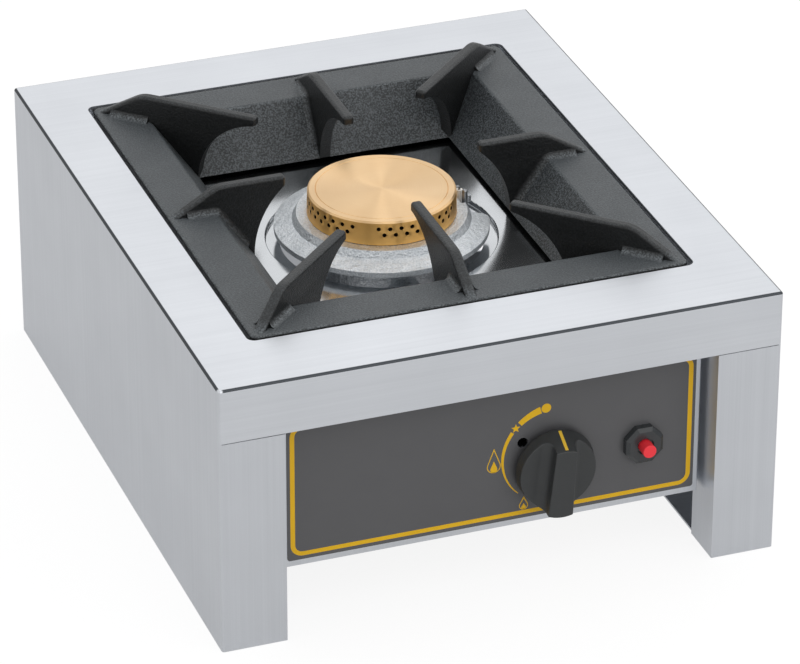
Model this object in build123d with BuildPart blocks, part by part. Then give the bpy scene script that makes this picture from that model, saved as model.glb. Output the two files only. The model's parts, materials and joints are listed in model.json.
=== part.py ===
from build123d import *
import os
from math import atan2, cos, degrees, hypot, pi, radians, sin, sqrt

# Fits and clearances
run_fit = 0.05
slip_fit = 0.1
seat_gap = 0.3
panel_gap = 3.5

# Body sheet
body_w = 400.0
body_d = 475.0
body_h = 200.0
sheet_t = 1.5
bend_in = 0.5
apron_h = 40.0
leg_w = 46.0
leg_depth = 35.0
leg_hem = 18.0
seam = 0.5
foot_flange = 44.5
rear_flange = 30.0
screws_per_side_count = 3

# Window in the top and the ledge folded under it
window_w = 318.0
window_d = 367.5
window_y = 3.75
window_r = 5.0
ledge_w = 12.0

# Pan support casting
support_gap = 2.25
support_corner_r = 6.0
rim_proud = 0.5
rim_t = 6.0
rim_edge_r = 2.0
rim_band = 33.6
skirt_drop = 37.5
skirt_run = 27.7
skirt_t = 6.0
finger_rise = 19.5
finger_run = 33.0
finger_w = 8.0
finger_edge_r = 2.4
finger_tip_h = 6.0
shoulder_r = 22.0
root_inset = 2.5
root_r = 4.5
crease_r = 3.0
corner_inset = 5.5
tip_x = 72.0
tip_y = 68.0
corner_tip_x = 61.5
corner_tip_y = 90.5

# Drip tray pressing
tray_t = 0.8
tray_depth = 34.7
tray_corner_r = 20.0
tray_foot_r = 8.0
tray_clear = 1.0
well_r = 82.0
well_depth = 3.5
well_edge_r = 0.6
tray_hole_r = 72.0

# Burner castings
bowl_rise = 2.5
bowl_h = 45.0
bowl_r = 46.0
bowl_wall = 4.5
bowl_floor = 8.0
bowl_flange_t = 6.0
tube_r = 14.0
tube_bore_r = 10.5
tube_rise = 17.0
mouth_chamfer = 2.0
neck_r = 55.5
head_bore_r = 47.8
head_ring_r = 60.3
head_step_r = 63.2
head_flange_r = 76.0
head_h = 16.5
head_step_drop = 5.0
flange_edge_drop = 8.9
flange_edge_t = 3.8
notch_x = 56.5
notch_w = 28.0
notch_step = 6.0
notch_corner_r = 4.0

# Brass burner cap
cap_top_r = 52.3
cap_foot_r = 52.8
cap_h = 17.7
cap_wall = 5.0
cap_roof = 4.5
cap_edge = 1.2
cap_groove_r = 46.5
cap_groove_w = 0.8
spigot_wall = 3.0
spigot_len = 7.0
port_r = 1.5
port_groups = 4
port_count = 9
port_pitch = 8.7
port_gap_angle = -122.3
port_upper_drop = 5.3
port_lower_drop = 9.9

# Burner bracket and its screws
bracket_t = 2.0
bracket_w = 56.0
bracket_lip = 8.0
bracket_end = 25.0
bowl_screw_x = 25.0
bowl_screw_r = 2.5
head_screw_circle = 51.2
head_screw_r = 2.0

# Spark electrode and thermocouple in the notch
electrode_x = 59.6
electrode_y = 4.0
ceramic_r = 2.4
ceramic_len = 36.0
ceramic_collar_r = 3.4
ceramic_collar_t = 3.0
spark_rod_r = 0.9
spark_tip_x = 57.3
rod_bare = 2.5
rod_bend = 1.6
couple_x = 61.0
couple_y = -3.4
couple_r = 2.5
couple_tip_r = 2.0
couple_collar_r = 3.2
couple_collar_t = 3.0
couple_tail = 6.0
couple_sheath = 14.0
couple_rise = 30.5
strap_reach = 69.5
strap_w = 18.0
strap_t = 1.5
strap_gap = 0.5

# Injector and its bracket
injector_gap = 14.0
injector_len = 12.0
injector_flats = 9.0
jet_r = 0.6
holder_flats = 17.0
holder_thread_r = 5.0
holder_hex_len = 10.0
holder_nut_t = 3.5
thread_proud = 0.5
stirrup_w = 40.0
stirrup_drop = 24.0
stirrup_t = 1.5
stirrup_grip = 8.0

# Control panel and printed film
panel_recess = 20.5
panel_t = 1.2
panel_bottom = 44.0
panel_top_drop = 15.0
panel_return = 12.0
ear_w = 18.0
ear_screw_inset = 8.0
panel_screw_len = 7.0
film_t = 0.5
film_margin = 3.7
film_bottom = 48.4
film_top_drop = 2.0
film_r = 2.0
film_knob_r = 21.0
spindle_hole_r = 7.0

# Knob and its place on the panel
knob_x = 42.8
knob_z = 87.7
knob_base_r = 28.5
knob_face_r = 25.5
knob_drop = 5.2
knob_lean = 4.7
knob_back = 4.5
knob_front = 23.0
knob_bar_top = 14.6
knob_bar_foot = 18.0
knob_floor = 11.75
knob_foot_r = 7.0
knob_edge_r = 0.8
knob_recess_r = 24.0
knob_recess = 3.0
knob_boss_r = 8.0
knob_face_t = 6.5
pointer_w = 2.2
pointer_proud = 0.2
pointer_t = 0.9
pointer_start = 2.0
pointer_end = 1.5
push_travel = 3.5

# Gas tap behind the panel, depths counted from the panel's back
spindle_r = 4.0
spindle_tail_r = 3.0
collar_r = 7.5
collar_t = 2.0
tap_w = 26.0
tap_tall = 46.0
tap_corner_r = 4.0
tap_screw_z = 16.0
tap_screw_r = 2.0
bonnet_t = 5.0
tap_flange_t = 4.0
tap_r = 14.0
cavity_r = 8.5
cavity_end = 19.0
chamber_start = 24.0
chamber_end = 40.0
plug_front_r = 8.0
plug_back_r = 9.5
tang_w = 3.6
tang_h = 4.8
tang_len = 3.0
plug_slot = 7.0
rod_r = 1.5
rod_end = 46.0
port_depth = 32.0
outlet_reach = 18.0
inlet_reach = 20.0
boss_r = 8.0
outlet_boss_r = 7.0
magnet_r = 8.0
magnet_flange_r = 12.0
magnet_flange_t = 3.0
magnet_end = 62.0
magnet_nut = 6.0
bypass_dx = -21.9
bypass_dz = 19.7
bypass_r = 6.0
lug_start = 12.0
lug_t = 10.0
bypass_boss = 3.2
bypass_shank_r = 2.4
bypass_hole_r = 3.75

# Piezo igniter
igniter_x = 108.1
igniter_z = 90.9
igniter_nut_r = 14.6
igniter_nut_h = 7.0
igniter_neck_r = 8.9
igniter_neck_h = 5.0
igniter_lip_r = 6.2
igniter_flange_r = 13.0
igniter_flange_t = 2.5
igniter_r = 9.5
igniter_len = 64.0
igniter_cavity_r = 8.0
igniter_cavity_end = 30.0
button_r = 4.85
button_front = 14.8
button_stop = 4.0
button_collar_r = 7.6
button_collar_t = 3.0
button_edge_r = 0.6
terminal_r = 1.5
terminal_len = 8.0

# Return springs
tap_wire_r = 0.5
tap_coil_r = 6.0
tap_coil_turns = 5
igniter_wire_r = 0.4
igniter_coil_r = 6.0
igniter_coil_turns = 7

# Pipes and leads
feed_r = 4.0
feed_bore_r = 3.0
feed_bend = 10.0
feed_run = 26.0
feed_nut_flats = 14.0
feed_nut_len = 8.0
supply_r = 5.0
supply_bore_r = 4.0
supply_bend = 12.0
supply_sweep = 30.0
supply_nut_flats = 17.0
supply_nut_len = 10.0
spark_lead_r = 1.75
spark_lead_bend = 10.0
spark_lead_drop = 22.0
couple_lead_r = 1.0
couple_lead_bend = 8.0
couple_lead_drop = 18.0

# Rear panel and gas inlet
rear_t = 1.2
rear_bottom = 10.0
rear_top_drop = 15.0
rear_gap = 2.0
rear_screw_r = 2.0
rear_screw_len = 9.0
vent_l = 46.0
vent_w = 6.0
vent_step_x = 62.0
vent_step_z = 16.0
vent_z = 115.0
inlet_x = 120.0
inlet_z = 42.0
inlet_r = 10.4775
inlet_spigot_r = 11.8
spigot_proud = 0.5
inlet_chamfer = 1.0
inlet_bore_r = 4.8
inlet_reach_rear = 13.0
inlet_flange_w = 42.0
inlet_flange_h = 25.0
inlet_flange_t = 4.0
inlet_screw_dx = 16.0
inlet_hex_flats = 22.0
inlet_hex_len = 14.0


def spaced(low, high, count):
    """Middles of equal shares of the length between two heights."""
    return [low + (high - low) * (k + 0.5) / count for k in range(count)]


# Places that follow from the sizes above
bend_r = sheet_t + bend_in
opening_w = body_w - 2 * leg_w
opening_h = body_h - apron_h
body_front = -body_d / 2
body_rear = body_d / 2
support_w = window_w - 2 * support_gap
support_d = window_d - 2 * support_gap
crease_x = support_w / 2 - rim_band
crease_y = support_d / 2 - rim_band
foot_x = crease_x - skirt_run
foot_y = crease_y - skirt_run
rim_top = body_h + rim_proud
skirt_bottom = rim_top - skirt_drop
finger_top = rim_top + finger_rise
lip_top = rim_top - rim_t - seat_gap
ledge_top = lip_top - tray_t
tray_floor = lip_top - tray_depth
well_floor = tray_floor - well_depth
tray_w = window_w - 2 * (ledge_w + tray_clear)
tray_d = window_d - 2 * (ledge_w + tray_clear)
burner_y = window_y
bowl_top = tray_floor + bowl_rise
bowl_bottom = bowl_top - bowl_h
head_top = bowl_top + head_h
cap_bottom = head_top + seat_gap
cap_top = cap_bottom + cap_h
tube_z = bowl_bottom + tube_rise
strap_top = bowl_top - bowl_flange_t
panel_front = body_front + panel_recess
panel_back = panel_front + panel_t
panel_top = body_h - panel_top_drop
film_front = panel_front - film_t
film_top = opening_h - film_top_drop
port_y = panel_back + port_depth
holder_front = port_y + feed_run
stirrup_front = holder_front + holder_hex_len
holder_nut_front = stirrup_front + stirrup_t
jet_base = holder_nut_front + holder_nut_t + thread_proud
jet_tip = jet_base + injector_len
tube_end = jet_tip + injector_gap
panel_w = opening_w - 2 * panel_gap
film_w = panel_w - 2 * film_margin
hem_back = body_front + leg_depth
ear_screw_x = opening_w / 2 + ear_screw_inset
ear_zs = spaced(panel_bottom, opening_h, screws_per_side_count)
rear_inner = body_rear - sheet_t
rear_face = rear_inner - rear_t
rear_zs = spaced(rear_bottom, opening_h, screws_per_side_count)
inlet_tip = body_rear + inlet_reach_rear
middle_y = (film_front - knob_front + inlet_tip) / 2
inlet_hex_front = rear_face - inlet_flange_t - inlet_hex_len
rear_screw_x = body_w / 2 - rear_flange / 2
supply_run = 0.8 * abs(inlet_x - knob_x)
bypass_x = knob_x + bypass_dx
bypass_z = knob_z + bypass_dz


def plane_facing_front(x, y, z):
    """Workplane at a point: local x to the right, local y up, normal toward the front."""
    return Plane(origin=(x, y, z), x_dir=(1, 0, 0), z_dir=(0, -1, 0))


def plane_facing_rear(x, y, z):
    """Workplane at a point: local y up, normal toward the rear."""
    return Plane(origin=(x, y, z), x_dir=(-1, 0, 0), z_dir=(0, 1, 0))


def bar_along_y(radius, x, z, y0, y1, mode=Mode.ADD):
    """Round bar from y0 back to y1."""
    with Locations(plane_facing_rear(x, y0, z)):
        Cylinder(radius, y1 - y0, align=(Align.CENTER, Align.CENTER, Align.MIN), mode=mode)


def upright_bar(radius, x, y, z0, z1, mode=Mode.ADD):
    """Round bar from z0 up to z1."""
    with Locations((x, y, z0)):
        Cylinder(radius, z1 - z0, align=(Align.CENTER, Align.CENTER, Align.MIN), mode=mode)


def block(x0, x1, y0, y1, z0, z1, mode=Mode.ADD):
    """Box between two corners."""
    with Locations(((x0 + x1) / 2, (y0 + y1) / 2, (z0 + z1) / 2)):
        Box(x1 - x0, y1 - y0, z1 - z0, mode=mode)


def hex_along(plane, flats, length):
    """Hexagon bar, given across flats, along a workplane's normal."""
    with BuildSketch(plane) as outline:
        RegularPolygon(flats / 2, 6, major_radius=False)
    extrude(outline.sketch, amount=length)


def turned(points, mode=Mode.ADD):
    """Ring turned about the burner's upright axis from (radius, height) points."""
    with BuildSketch(plane_facing_front(0, burner_y, 0)) as section:
        with BuildLine():
            Polyline(*points, close=True)
        make_face()
    revolve(section.sketch, axis=Axis((0, burner_y, 0), (0, 0, 1)), mode=mode)


def hopper(half_x, half_y, mode=Mode.ADD):
    """Block narrowing downward along the slope of the pan support's inner walls."""
    with BuildSketch(Plane.XY.offset(rim_top)) as mouth:
        with Locations((0, window_y)):
            Rectangle(2 * half_x, 2 * half_y)
    with BuildSketch(Plane.XY.offset(skirt_bottom)) as foot:
        with Locations((0, window_y)):
            Rectangle(2 * (half_x - skirt_run), 2 * (half_y - skirt_run))
    loft([mouth.sketch, foot.sketch], ruled=True, mode=mode)


def pan_screw(plane, shank_r, length):
    """Screw with a crossed recess, its head standing along the workplane's normal."""
    head_r = 1.75 * shank_r
    head_h = 1.1 * shank_r
    with Locations(plane):
        Cylinder(head_r, head_h, align=(Align.CENTER, Align.CENTER, Align.MIN))
        Cylinder(shank_r, length, align=(Align.CENTER, Align.CENTER, Align.MAX))
        with Locations((0, 0, head_h)):
            Box(1.2 * head_r, 0.3 * head_r, head_h, mode=Mode.SUBTRACT)
            Box(0.3 * head_r, 1.2 * head_r, head_h, mode=Mode.SUBTRACT)


def pipe(points, bends, outer_r, bore_r):
    """Tube, or solid wire when the bore is 0, along straight runs and tangent bends."""
    with BuildLine() as route:
        FilletPolyline(*points, radius=bends)
    start = Vector(*points[0])
    with BuildSketch(Plane(origin=start, z_dir=Vector(*points[1]) - start)) as section:
        Circle(outer_r)
        if bore_r > 0:
            Circle(bore_r, mode=Mode.SUBTRACT)
    sweep(section.sketch, path=route.wire())


def coil(x, z, y0, y1, coil_r, wire_r, turns):
    """Spring along Y whose turns are quarter-turn pairs of tangent arcs; returns its least own gap."""
    steps = 4 * turns
    pitch = (y1 - y0 - 2 * wire_r) / turns
    slope = hypot(2 * pi * coil_r, pitch)

    def spot(i):
        a = i * pi / 2
        return Vector(x + coil_r * cos(a), y0 + wire_r + pitch * i / 4, z + coil_r * sin(a))

    def heading(i):
        a = i * pi / 2
        around = 2 * pi * coil_r / slope
        return Vector(-sin(a) * around, pitch / slope, cos(a) * around)

    with BuildLine() as wire:
        for i in range(steps):
            p1, p2 = spot(i), spot(i + 1)
            t1, t2 = heading(i), heading(i + 1)
            v = p2 - p1
            q = 2 * (1 - t1.dot(t2))
            vt = v.dot(t1 + t2)
            d = (sqrt(vt * vt + q * v.dot(v)) - vt) / q
            middle = (p1 + p2 + (t1 - t2) * d) * 0.5
            TangentArc(p1, middle, tangent=t1)
            TangentArc(middle, p2, tangent=(p2 - t2 * d) - (p1 + t1 * d))
    with BuildSketch(Plane(origin=spot(0), z_dir=heading(0))) as section:
        Circle(wire_r)
    sweep(section.sketch, path=wire.wire())
    return pitch - 2 * wire_r


def finger_blank(tip, root, foot_s, crease_s):
    """One upright finger plate from its tip to its root, its upper edges rounded."""
    run = hypot(root[0] - tip[0], root[1] - tip[1])
    out = ((root[0] - tip[0]) / run, (root[1] - tip[1]) / run)
    side = Plane(
        origin=(tip[0], tip[1] + window_y, 0),
        x_dir=(out[0], out[1], 0),
        z_dir=(out[1], -out[0], 0),
    )
    bury = skirt_t / 2
    tip_low = (0, finger_top - finger_tip_h)
    with BuildPart() as blank:
        with BuildSketch(side):
            with BuildLine():
                FilletPolyline(
                    (run, rim_top),
                    (run - finger_run, finger_top),
                    (0, finger_top),
                    tip_low,
                    radius=[shoulder_r, finger_edge_r],
                )
                TangentArc((foot_s, skirt_bottom), tip_low, tangent=(0, 1))
                Polyline(
                    (foot_s, skirt_bottom),
                    (foot_s + bury, skirt_bottom),
                    (crease_s + bury, rim_top - rim_t / 2),
                    (run, rim_top - rim_t / 2),
                    (run, rim_top),
                )
            make_face()
        extrude(amount=finger_w / 2, both=True)
        upper = blank.edges().filter_by(lambda e: e.center().Z > rim_top + 0.5)
        across = blank.edges().filter_by(Axis((0, 0, 0), side.z_dir))
        fillet([e for e in upper if e not in across], finger_edge_r)
    return blank.part


def root_strips(tip, root, foot_s, crease_s, down):
    """Concave fillets on both flanks of a finger, along the rim and, if asked, down the wall."""
    run = hypot(root[0] - tip[0], root[1] - tip[1])
    ux, uy = (root[0] - tip[0]) / run, (root[1] - tip[1]) / run
    clear = 2.2 * root_r
    share = clear / hypot(crease_s - foot_s, skirt_drop)
    strips = []
    for side in (-1, 1):
        nx, ny = -uy * side, ux * side

        def spot(s, z):
            x = tip[0] + ux * s + nx * finger_w / 2
            y = tip[1] + uy * s + ny * finger_w / 2
            return Vector(x, y + window_y, z)

        start = spot(run - clear, rim_top)
        bend = spot(crease_s, rim_top)
        end = spot(foot_s + share * (crease_s - foot_s), skirt_bottom + share * skirt_drop)
        profile = Plane(origin=start, x_dir=(nx, ny, 0), z_dir=bend - start)
        up = root_r if profile.y_dir.Z > 0 else -root_r
        with BuildPart() as strip:
            with BuildLine() as path:
                if down:
                    FilletPolyline(start, bend, end, radius=[crease_r])
                else:
                    Line(start, bend)
            with BuildSketch(profile) as section:
                with BuildLine():
                    ThreePointArc((root_r, 0), (0.35 * root_r, 0.35 * up), (0, up))
                    Polyline((0, up), (-0.2 * root_r, up), (-0.2 * root_r, -0.2 * up), (root_r, -0.2 * up),
                             (root_r, 0))
                make_face()
            sweep(section.sketch, path=path.wire())
        strips.append(strip.part)
    return strips


# Body: one folded sheet, open below, with a window in the top
with BuildPart() as body_shell:
    with BuildSketch():
        Rectangle(body_w, body_d)
    extrude(amount=body_h)
    folds = body_shell.edges().filter_by(Axis.Z) + body_shell.faces().sort_by(Axis.Z)[-1].edges()
    fillet(folds, bend_r)
    offset(amount=-sheet_t, openings=body_shell.faces().sort_by(Axis.Z)[0])

    # Front opening, rear opening, and the slits where apron and uprights meet
    with BuildSketch(plane_facing_front(0, body_front, 0)):
        Rectangle(opening_w, opening_h, align=(Align.CENTER, Align.MIN))
        with Locations((0, opening_h)):
            Rectangle(body_w - 2 * bend_r, seam, align=(Align.CENTER, Align.MAX))
    extrude(amount=-sheet_t, mode=Mode.SUBTRACT)
    with BuildSketch(plane_facing_rear(0, body_rear, 0)):
        Rectangle(body_w - 2 * rear_flange, opening_h, align=(Align.CENTER, Align.MIN))
        with Locations((0, opening_h)):
            Rectangle(body_w - 2 * bend_r, seam, align=(Align.CENTER, Align.MAX))
    extrude(amount=-sheet_t, mode=Mode.SUBTRACT)

    # Front legs folded back into channels, and the flanges the body stands on
    for s in (-1, 1):
        inner = s * opening_w / 2
        wall = sorted((inner, inner + s * sheet_t))
        hem = sorted((inner, inner + s * leg_hem))
        foot = sorted((s * (body_w / 2 - sheet_t), s * (body_w / 2 - foot_flange)))
        block(*wall, body_front, hem_back, 0, opening_h - seam)
        block(*hem, hem_back - sheet_t, hem_back, 0, opening_h - seam)
        block(*foot, body_front + sheet_t, body_rear - sheet_t, 0, sheet_t)
        for z in ear_zs:
            bar_along_y(head_screw_r + slip_fit, s * ear_screw_x, z, hem_back - 2 * sheet_t,
                        hem_back + sheet_t, mode=Mode.SUBTRACT)
        for z in rear_zs:
            bar_along_y(rear_screw_r + slip_fit, s * rear_screw_x, z, rear_inner - sheet_t,
                        body_rear + sheet_t, mode=Mode.SUBTRACT)

    # Window with its edge folded down to a ledge
    with BuildSketch(Plane.XY.offset(body_h)):
        with Locations((0, window_y)):
            RectangleRounded(window_w, window_d, window_r)
    extrude(amount=-sheet_t, mode=Mode.SUBTRACT)
    with BuildSketch(Plane.XY.offset(ledge_top)):
        with Locations((0, window_y)):
            RectangleRounded(window_w + 2 * sheet_t, window_d + 2 * sheet_t, window_r + sheet_t)
            RectangleRounded(window_w, window_d, window_r, mode=Mode.SUBTRACT)
    extrude(amount=body_h - sheet_t - ledge_top)
    with BuildSketch(Plane.XY.offset(ledge_top - sheet_t)):
        with Locations((0, window_y)):
            RectangleRounded(window_w + 2 * sheet_t, window_d + 2 * sheet_t, window_r + sheet_t)
            RectangleRounded(window_w - 2 * ledge_w, window_d - 2 * ledge_w, tray_corner_r,
                             mode=Mode.SUBTRACT)
    extrude(amount=sheet_t)
    brim = body_shell.faces().sort_by(Axis.Z)[-1].inner_wires()[0].edges()
    fillet(brim, 0.7 * sheet_t)

# Rear panel with vent slots, screwed inside the rear flanges
with BuildPart() as rear_panel:
    half = body_w / 2 - sheet_t - rear_gap
    block(-half, half, rear_face, rear_inner, rear_bottom, body_h - rear_top_drop)
    with BuildSketch(plane_facing_rear(0, rear_inner, vent_z)):
        with GridLocations(vent_step_x, vent_step_z, 4, 3):
            SlotOverall(vent_l, vent_w)
    extrude(amount=-rear_t, mode=Mode.SUBTRACT)
    bar_along_y(inlet_spigot_r + slip_fit, inlet_x, inlet_z, rear_face - 1, rear_inner + 1,
                mode=Mode.SUBTRACT)
    for s in (-1, 1):
        bar_along_y(head_screw_r + slip_fit, inlet_x + s * inlet_screw_dx, inlet_z, rear_face - 1,
                    rear_inner + 1, mode=Mode.SUBTRACT)
        for z in rear_zs:
            bar_along_y(rear_screw_r + slip_fit, s * rear_screw_x, z, rear_face - 1, rear_inner + 1,
                        mode=Mode.SUBTRACT)

with BuildPart() as rear_screws:
    for s in (-1, 1):
        for z in rear_zs:
            pan_screw(plane_facing_rear(s * rear_screw_x, body_rear, z), rear_screw_r, rear_screw_len)

# Gas inlet: flange behind the rear panel, threaded stub through it
with BuildPart() as inlet_fitting:
    block(inlet_x - inlet_flange_w / 2, inlet_x + inlet_flange_w / 2, rear_face - inlet_flange_t,
          rear_face, inlet_z - inlet_flange_h / 2, inlet_z + inlet_flange_h / 2)
    bar_along_y(inlet_spigot_r, inlet_x, inlet_z, rear_face - inlet_flange_t,
                rear_inner + spigot_proud)
    bar_along_y(inlet_r, inlet_x, inlet_z, rear_face, inlet_tip)
    chamfer(inlet_fitting.faces().sort_by(Axis.Y)[-1].edges(), inlet_chamfer)
    hex_along(plane_facing_front(inlet_x, rear_face - inlet_flange_t, inlet_z), inlet_hex_flats,
              inlet_hex_len)
    bar_along_y(inlet_bore_r, inlet_x, inlet_z, inlet_hex_front - 1, inlet_tip + 1, mode=Mode.SUBTRACT)
    for s in (-1, 1):
        bar_along_y(head_screw_r + slip_fit, inlet_x + s * inlet_screw_dx, inlet_z,
                    rear_face - inlet_flange_t - 1, rear_face + 1, mode=Mode.SUBTRACT)

with BuildPart() as inlet_screws:
    for s in (-1, 1):
        pan_screw(plane_facing_rear(inlet_x + s * inlet_screw_dx, rear_inner, inlet_z), head_screw_r,
                  rear_screw_len)

# Control panel: folded sheet with side flanges, ears behind the leg hems and a bottom return
with BuildPart() as control_panel:
    half = panel_w / 2
    block(-half, half, panel_front, panel_back, panel_bottom, panel_top)
    block(-half, half, panel_back, panel_front + panel_return, panel_bottom, panel_bottom + panel_t)
    for s in (-1, 1):
        flange = sorted((s * half, s * (half - panel_t)))
        ear = sorted((s * (half - panel_t), s * (half + ear_w)))
        block(*flange, panel_back, hem_back + panel_t, panel_bottom, panel_top)
        block(*ear, hem_back, hem_back + panel_t, panel_bottom, opening_h - seam)
        for z in ear_zs:
            bar_along_y(head_screw_r + slip_fit, s * ear_screw_x, z, hem_back - 1, hem_back + 2 * panel_t,
                        mode=Mode.SUBTRACT)
    with BuildSketch(plane_facing_front(knob_x, panel_front, knob_z)):
        Circle(spindle_hole_r)
        with GridLocations(0, 2 * tap_screw_z, 1, 2):
            Circle(tap_screw_r + slip_fit)
        with Locations((bypass_dx, bypass_dz)):
            Circle(bypass_hole_r)
        with Locations((igniter_x - knob_x, igniter_z - knob_z)):
            Circle(igniter_neck_r + slip_fit)
    extrude(amount=-panel_t, mode=Mode.SUBTRACT)
    outer = control_panel.edges().filter_by(Axis.Z).group_by(Axis.Y)[0]
    fillet(outer, 0.8 * panel_t)

with BuildPart() as panel_screws:
    for s in (-1, 1):
        for z in ear_zs:
            pan_screw(plane_facing_rear(s * ear_screw_x, hem_back + panel_t, z), head_screw_r,
                      panel_screw_len)

# Printed film on the panel, cut out around the spindle, the igniter and the by-pass screw
with BuildPart() as panel_overlay:
    with BuildSketch(plane_facing_front(0, panel_front, (film_bottom + film_top) / 2)):
        RectangleRounded(film_w, film_top - film_bottom, film_r)
    extrude(amount=film_t)
    with BuildSketch(plane_facing_front(knob_x, film_front, knob_z)):
        Circle(film_knob_r)
        with Locations((bypass_dx, bypass_dz)):
            Circle(bypass_hole_r)
        with Locations((igniter_x - knob_x, igniter_z - knob_z)):
            Circle(igniter_neck_r + slip_fit)
    extrude(amount=-film_t, mode=Mode.SUBTRACT)

# Drip tray: pressed pan hung on the window ledge, with a sunk well round the burner
with BuildPart() as drip_tray:
    with BuildSketch(Plane.XY.offset(tray_floor - tray_t)):
        with Locations((0, window_y)):
            RectangleRounded(tray_w, tray_d, tray_corner_r)
    extrude(amount=lip_top - tray_floor + tray_t)
    fillet(drip_tray.faces().sort_by(Axis.Z)[0].edges(), tray_foot_r)
    offset(amount=-tray_t, openings=drip_tray.faces().sort_by(Axis.Z)[-1])
    with BuildSketch(Plane.XY.offset(ledge_top)):
        with Locations((0, window_y)):
            RectangleRounded(window_w - 2 * support_gap, window_d - 2 * support_gap, window_r)
            RectangleRounded(tray_w - tray_t, tray_d - tray_t, tray_corner_r - tray_t / 2,
                             mode=Mode.SUBTRACT)
    extrude(amount=tray_t)
    upright_bar(well_r, 0, burner_y, tray_floor - 2 * tray_t, tray_floor + tray_t, mode=Mode.SUBTRACT)
    turned([
        (tray_hole_r, well_floor - tray_t),
        (well_r + tray_t, well_floor - tray_t),
        (well_r + tray_t, tray_floor - tray_t / 2),
        (well_r, tray_floor - tray_t / 2),
        (well_r, well_floor),
        (tray_hole_r, well_floor),
    ])
    rings = drip_tray.edges().filter_by(GeomType.CIRCLE)
    bends = [e for e in rings if abs(e.radius - well_r) < tray_t / 4]
    fillet(bends, well_edge_r)

# Burner bracket: channel bar across the body with turned-down ends
with BuildPart() as burner_bracket:
    half = body_w / 2 - sheet_t
    y0 = burner_y - bracket_w / 2
    y1 = burner_y + bracket_w / 2
    block(-half, half, y0, y1, bowl_bottom - bracket_t, bowl_bottom)
    for s in (-1, 1):
        end = sorted((s * half, s * (half - bracket_t)))
        block(*end, y0, y1, bowl_bottom - bracket_end, bowl_bottom - bracket_t)
    for y in (y0, y1 - bracket_t):
        block(-half, half, y, y + bracket_t, bowl_bottom - bracket_lip, bowl_bottom - bracket_t)
    for s in (-1, 1):
        upright_bar(bowl_screw_r + slip_fit, s * bowl_screw_x, burner_y, bowl_bottom - 2 * bracket_t,
                    bowl_bottom + 1, mode=Mode.SUBTRACT)

def head_screw_spot(k):
    """Place, seen from above, of one of the four screws that join bowl and head."""
    a = k * pi / 2
    return head_screw_circle * cos(a), burner_y + head_screw_circle * sin(a)


# Burner bowl with its mixing tube toward the front
with BuildPart() as burner_bowl:
    turned([
        (0, bowl_bottom),
        (bowl_r - bowl_floor, bowl_bottom),
        (bowl_r, bowl_bottom + bowl_floor),
        (bowl_r, strap_top),
        (neck_r, strap_top),
        (neck_r, bowl_top),
        (0, bowl_top),
    ])
    bar_along_y(tube_r, 0, tube_z, tube_end, burner_y)
    turned([
        (0, bowl_bottom + bowl_floor),
        (bowl_r - bowl_floor - bowl_wall, bowl_bottom + bowl_floor),
        (bowl_r - bowl_wall, bowl_bottom + 2 * bowl_floor),
        (bowl_r - bowl_wall, bowl_top),
        (0, bowl_top),
    ], mode=Mode.SUBTRACT)
    bar_along_y(tube_bore_r, 0, tube_z, tube_end - 1, burner_y, mode=Mode.SUBTRACT)
    mouth = burner_bowl.edges().filter_by(GeomType.CIRCLE).filter_by_position(
        Axis.Y, tube_end - 0.1, tube_end + 0.1)
    chamfer(mouth.sort_by(SortBy.RADIUS)[0], 0.6 * (tube_r - tube_bore_r), mouth_chamfer)
    for s in (-1, 1):
        upright_bar(bowl_screw_r + slip_fit, s * bowl_screw_x, burner_y, bowl_bottom - 1,
                    bowl_bottom + 0.75 * bowl_floor, mode=Mode.SUBTRACT)
    for k in range(4):
        upright_bar(head_screw_r + slip_fit, *head_screw_spot(k), strap_top - 1, bowl_top + 1,
                    mode=Mode.SUBTRACT)

with BuildPart() as bowl_screws:
    for s in (-1, 1):
        under = Plane(origin=(s * bowl_screw_x, burner_y, bowl_bottom - bracket_t), z_dir=(0, 0, -1))
        pan_screw(under, bowl_screw_r, bracket_t + 0.6 * bowl_floor)

# Burner head: cast ring with a sloping flange, notched for the electrode
with BuildPart() as burner_head:
    turned([
        (head_bore_r, bowl_top),
        (neck_r, bowl_top),
        (neck_r, bowl_top + flange_edge_t),
        (head_flange_r, head_top - flange_edge_drop - flange_edge_t),
        (head_flange_r, head_top - flange_edge_drop),
        (head_step_r, head_top - head_step_drop),
        (head_ring_r, head_top),
        (head_bore_r, head_top),
    ])
    with BuildSketch(Plane.XY.offset(bowl_top - 1)):
        with Locations((head_step_r, burner_y)):
            Rectangle(head_flange_r, notch_w, align=(Align.MIN, Align.CENTER))
        with Locations((notch_x, burner_y + notch_w / 2)):
            Rectangle(head_flange_r, notch_w - notch_step, align=(Align.MIN, Align.MAX))
    extrude(amount=head_h + 2, mode=Mode.SUBTRACT)
    upright = burner_head.edges().filter_by(Axis.Z)
    fillet([e for e in upright if e.center().X > head_step_r + notch_corner_r], notch_corner_r)
    for k in range(4):
        upright_bar(head_screw_r + slip_fit, *head_screw_spot(k), bowl_top - 1, bowl_top + 0.6 * head_h,
                    mode=Mode.SUBTRACT)

with BuildPart() as head_screws:
    for k in (1, 2, 3):
        under = Plane(origin=(*head_screw_spot(k), strap_top), z_dir=(0, 0, -1))
        pan_screw(under, head_screw_r, bowl_flange_t + 0.5 * head_h)

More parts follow.
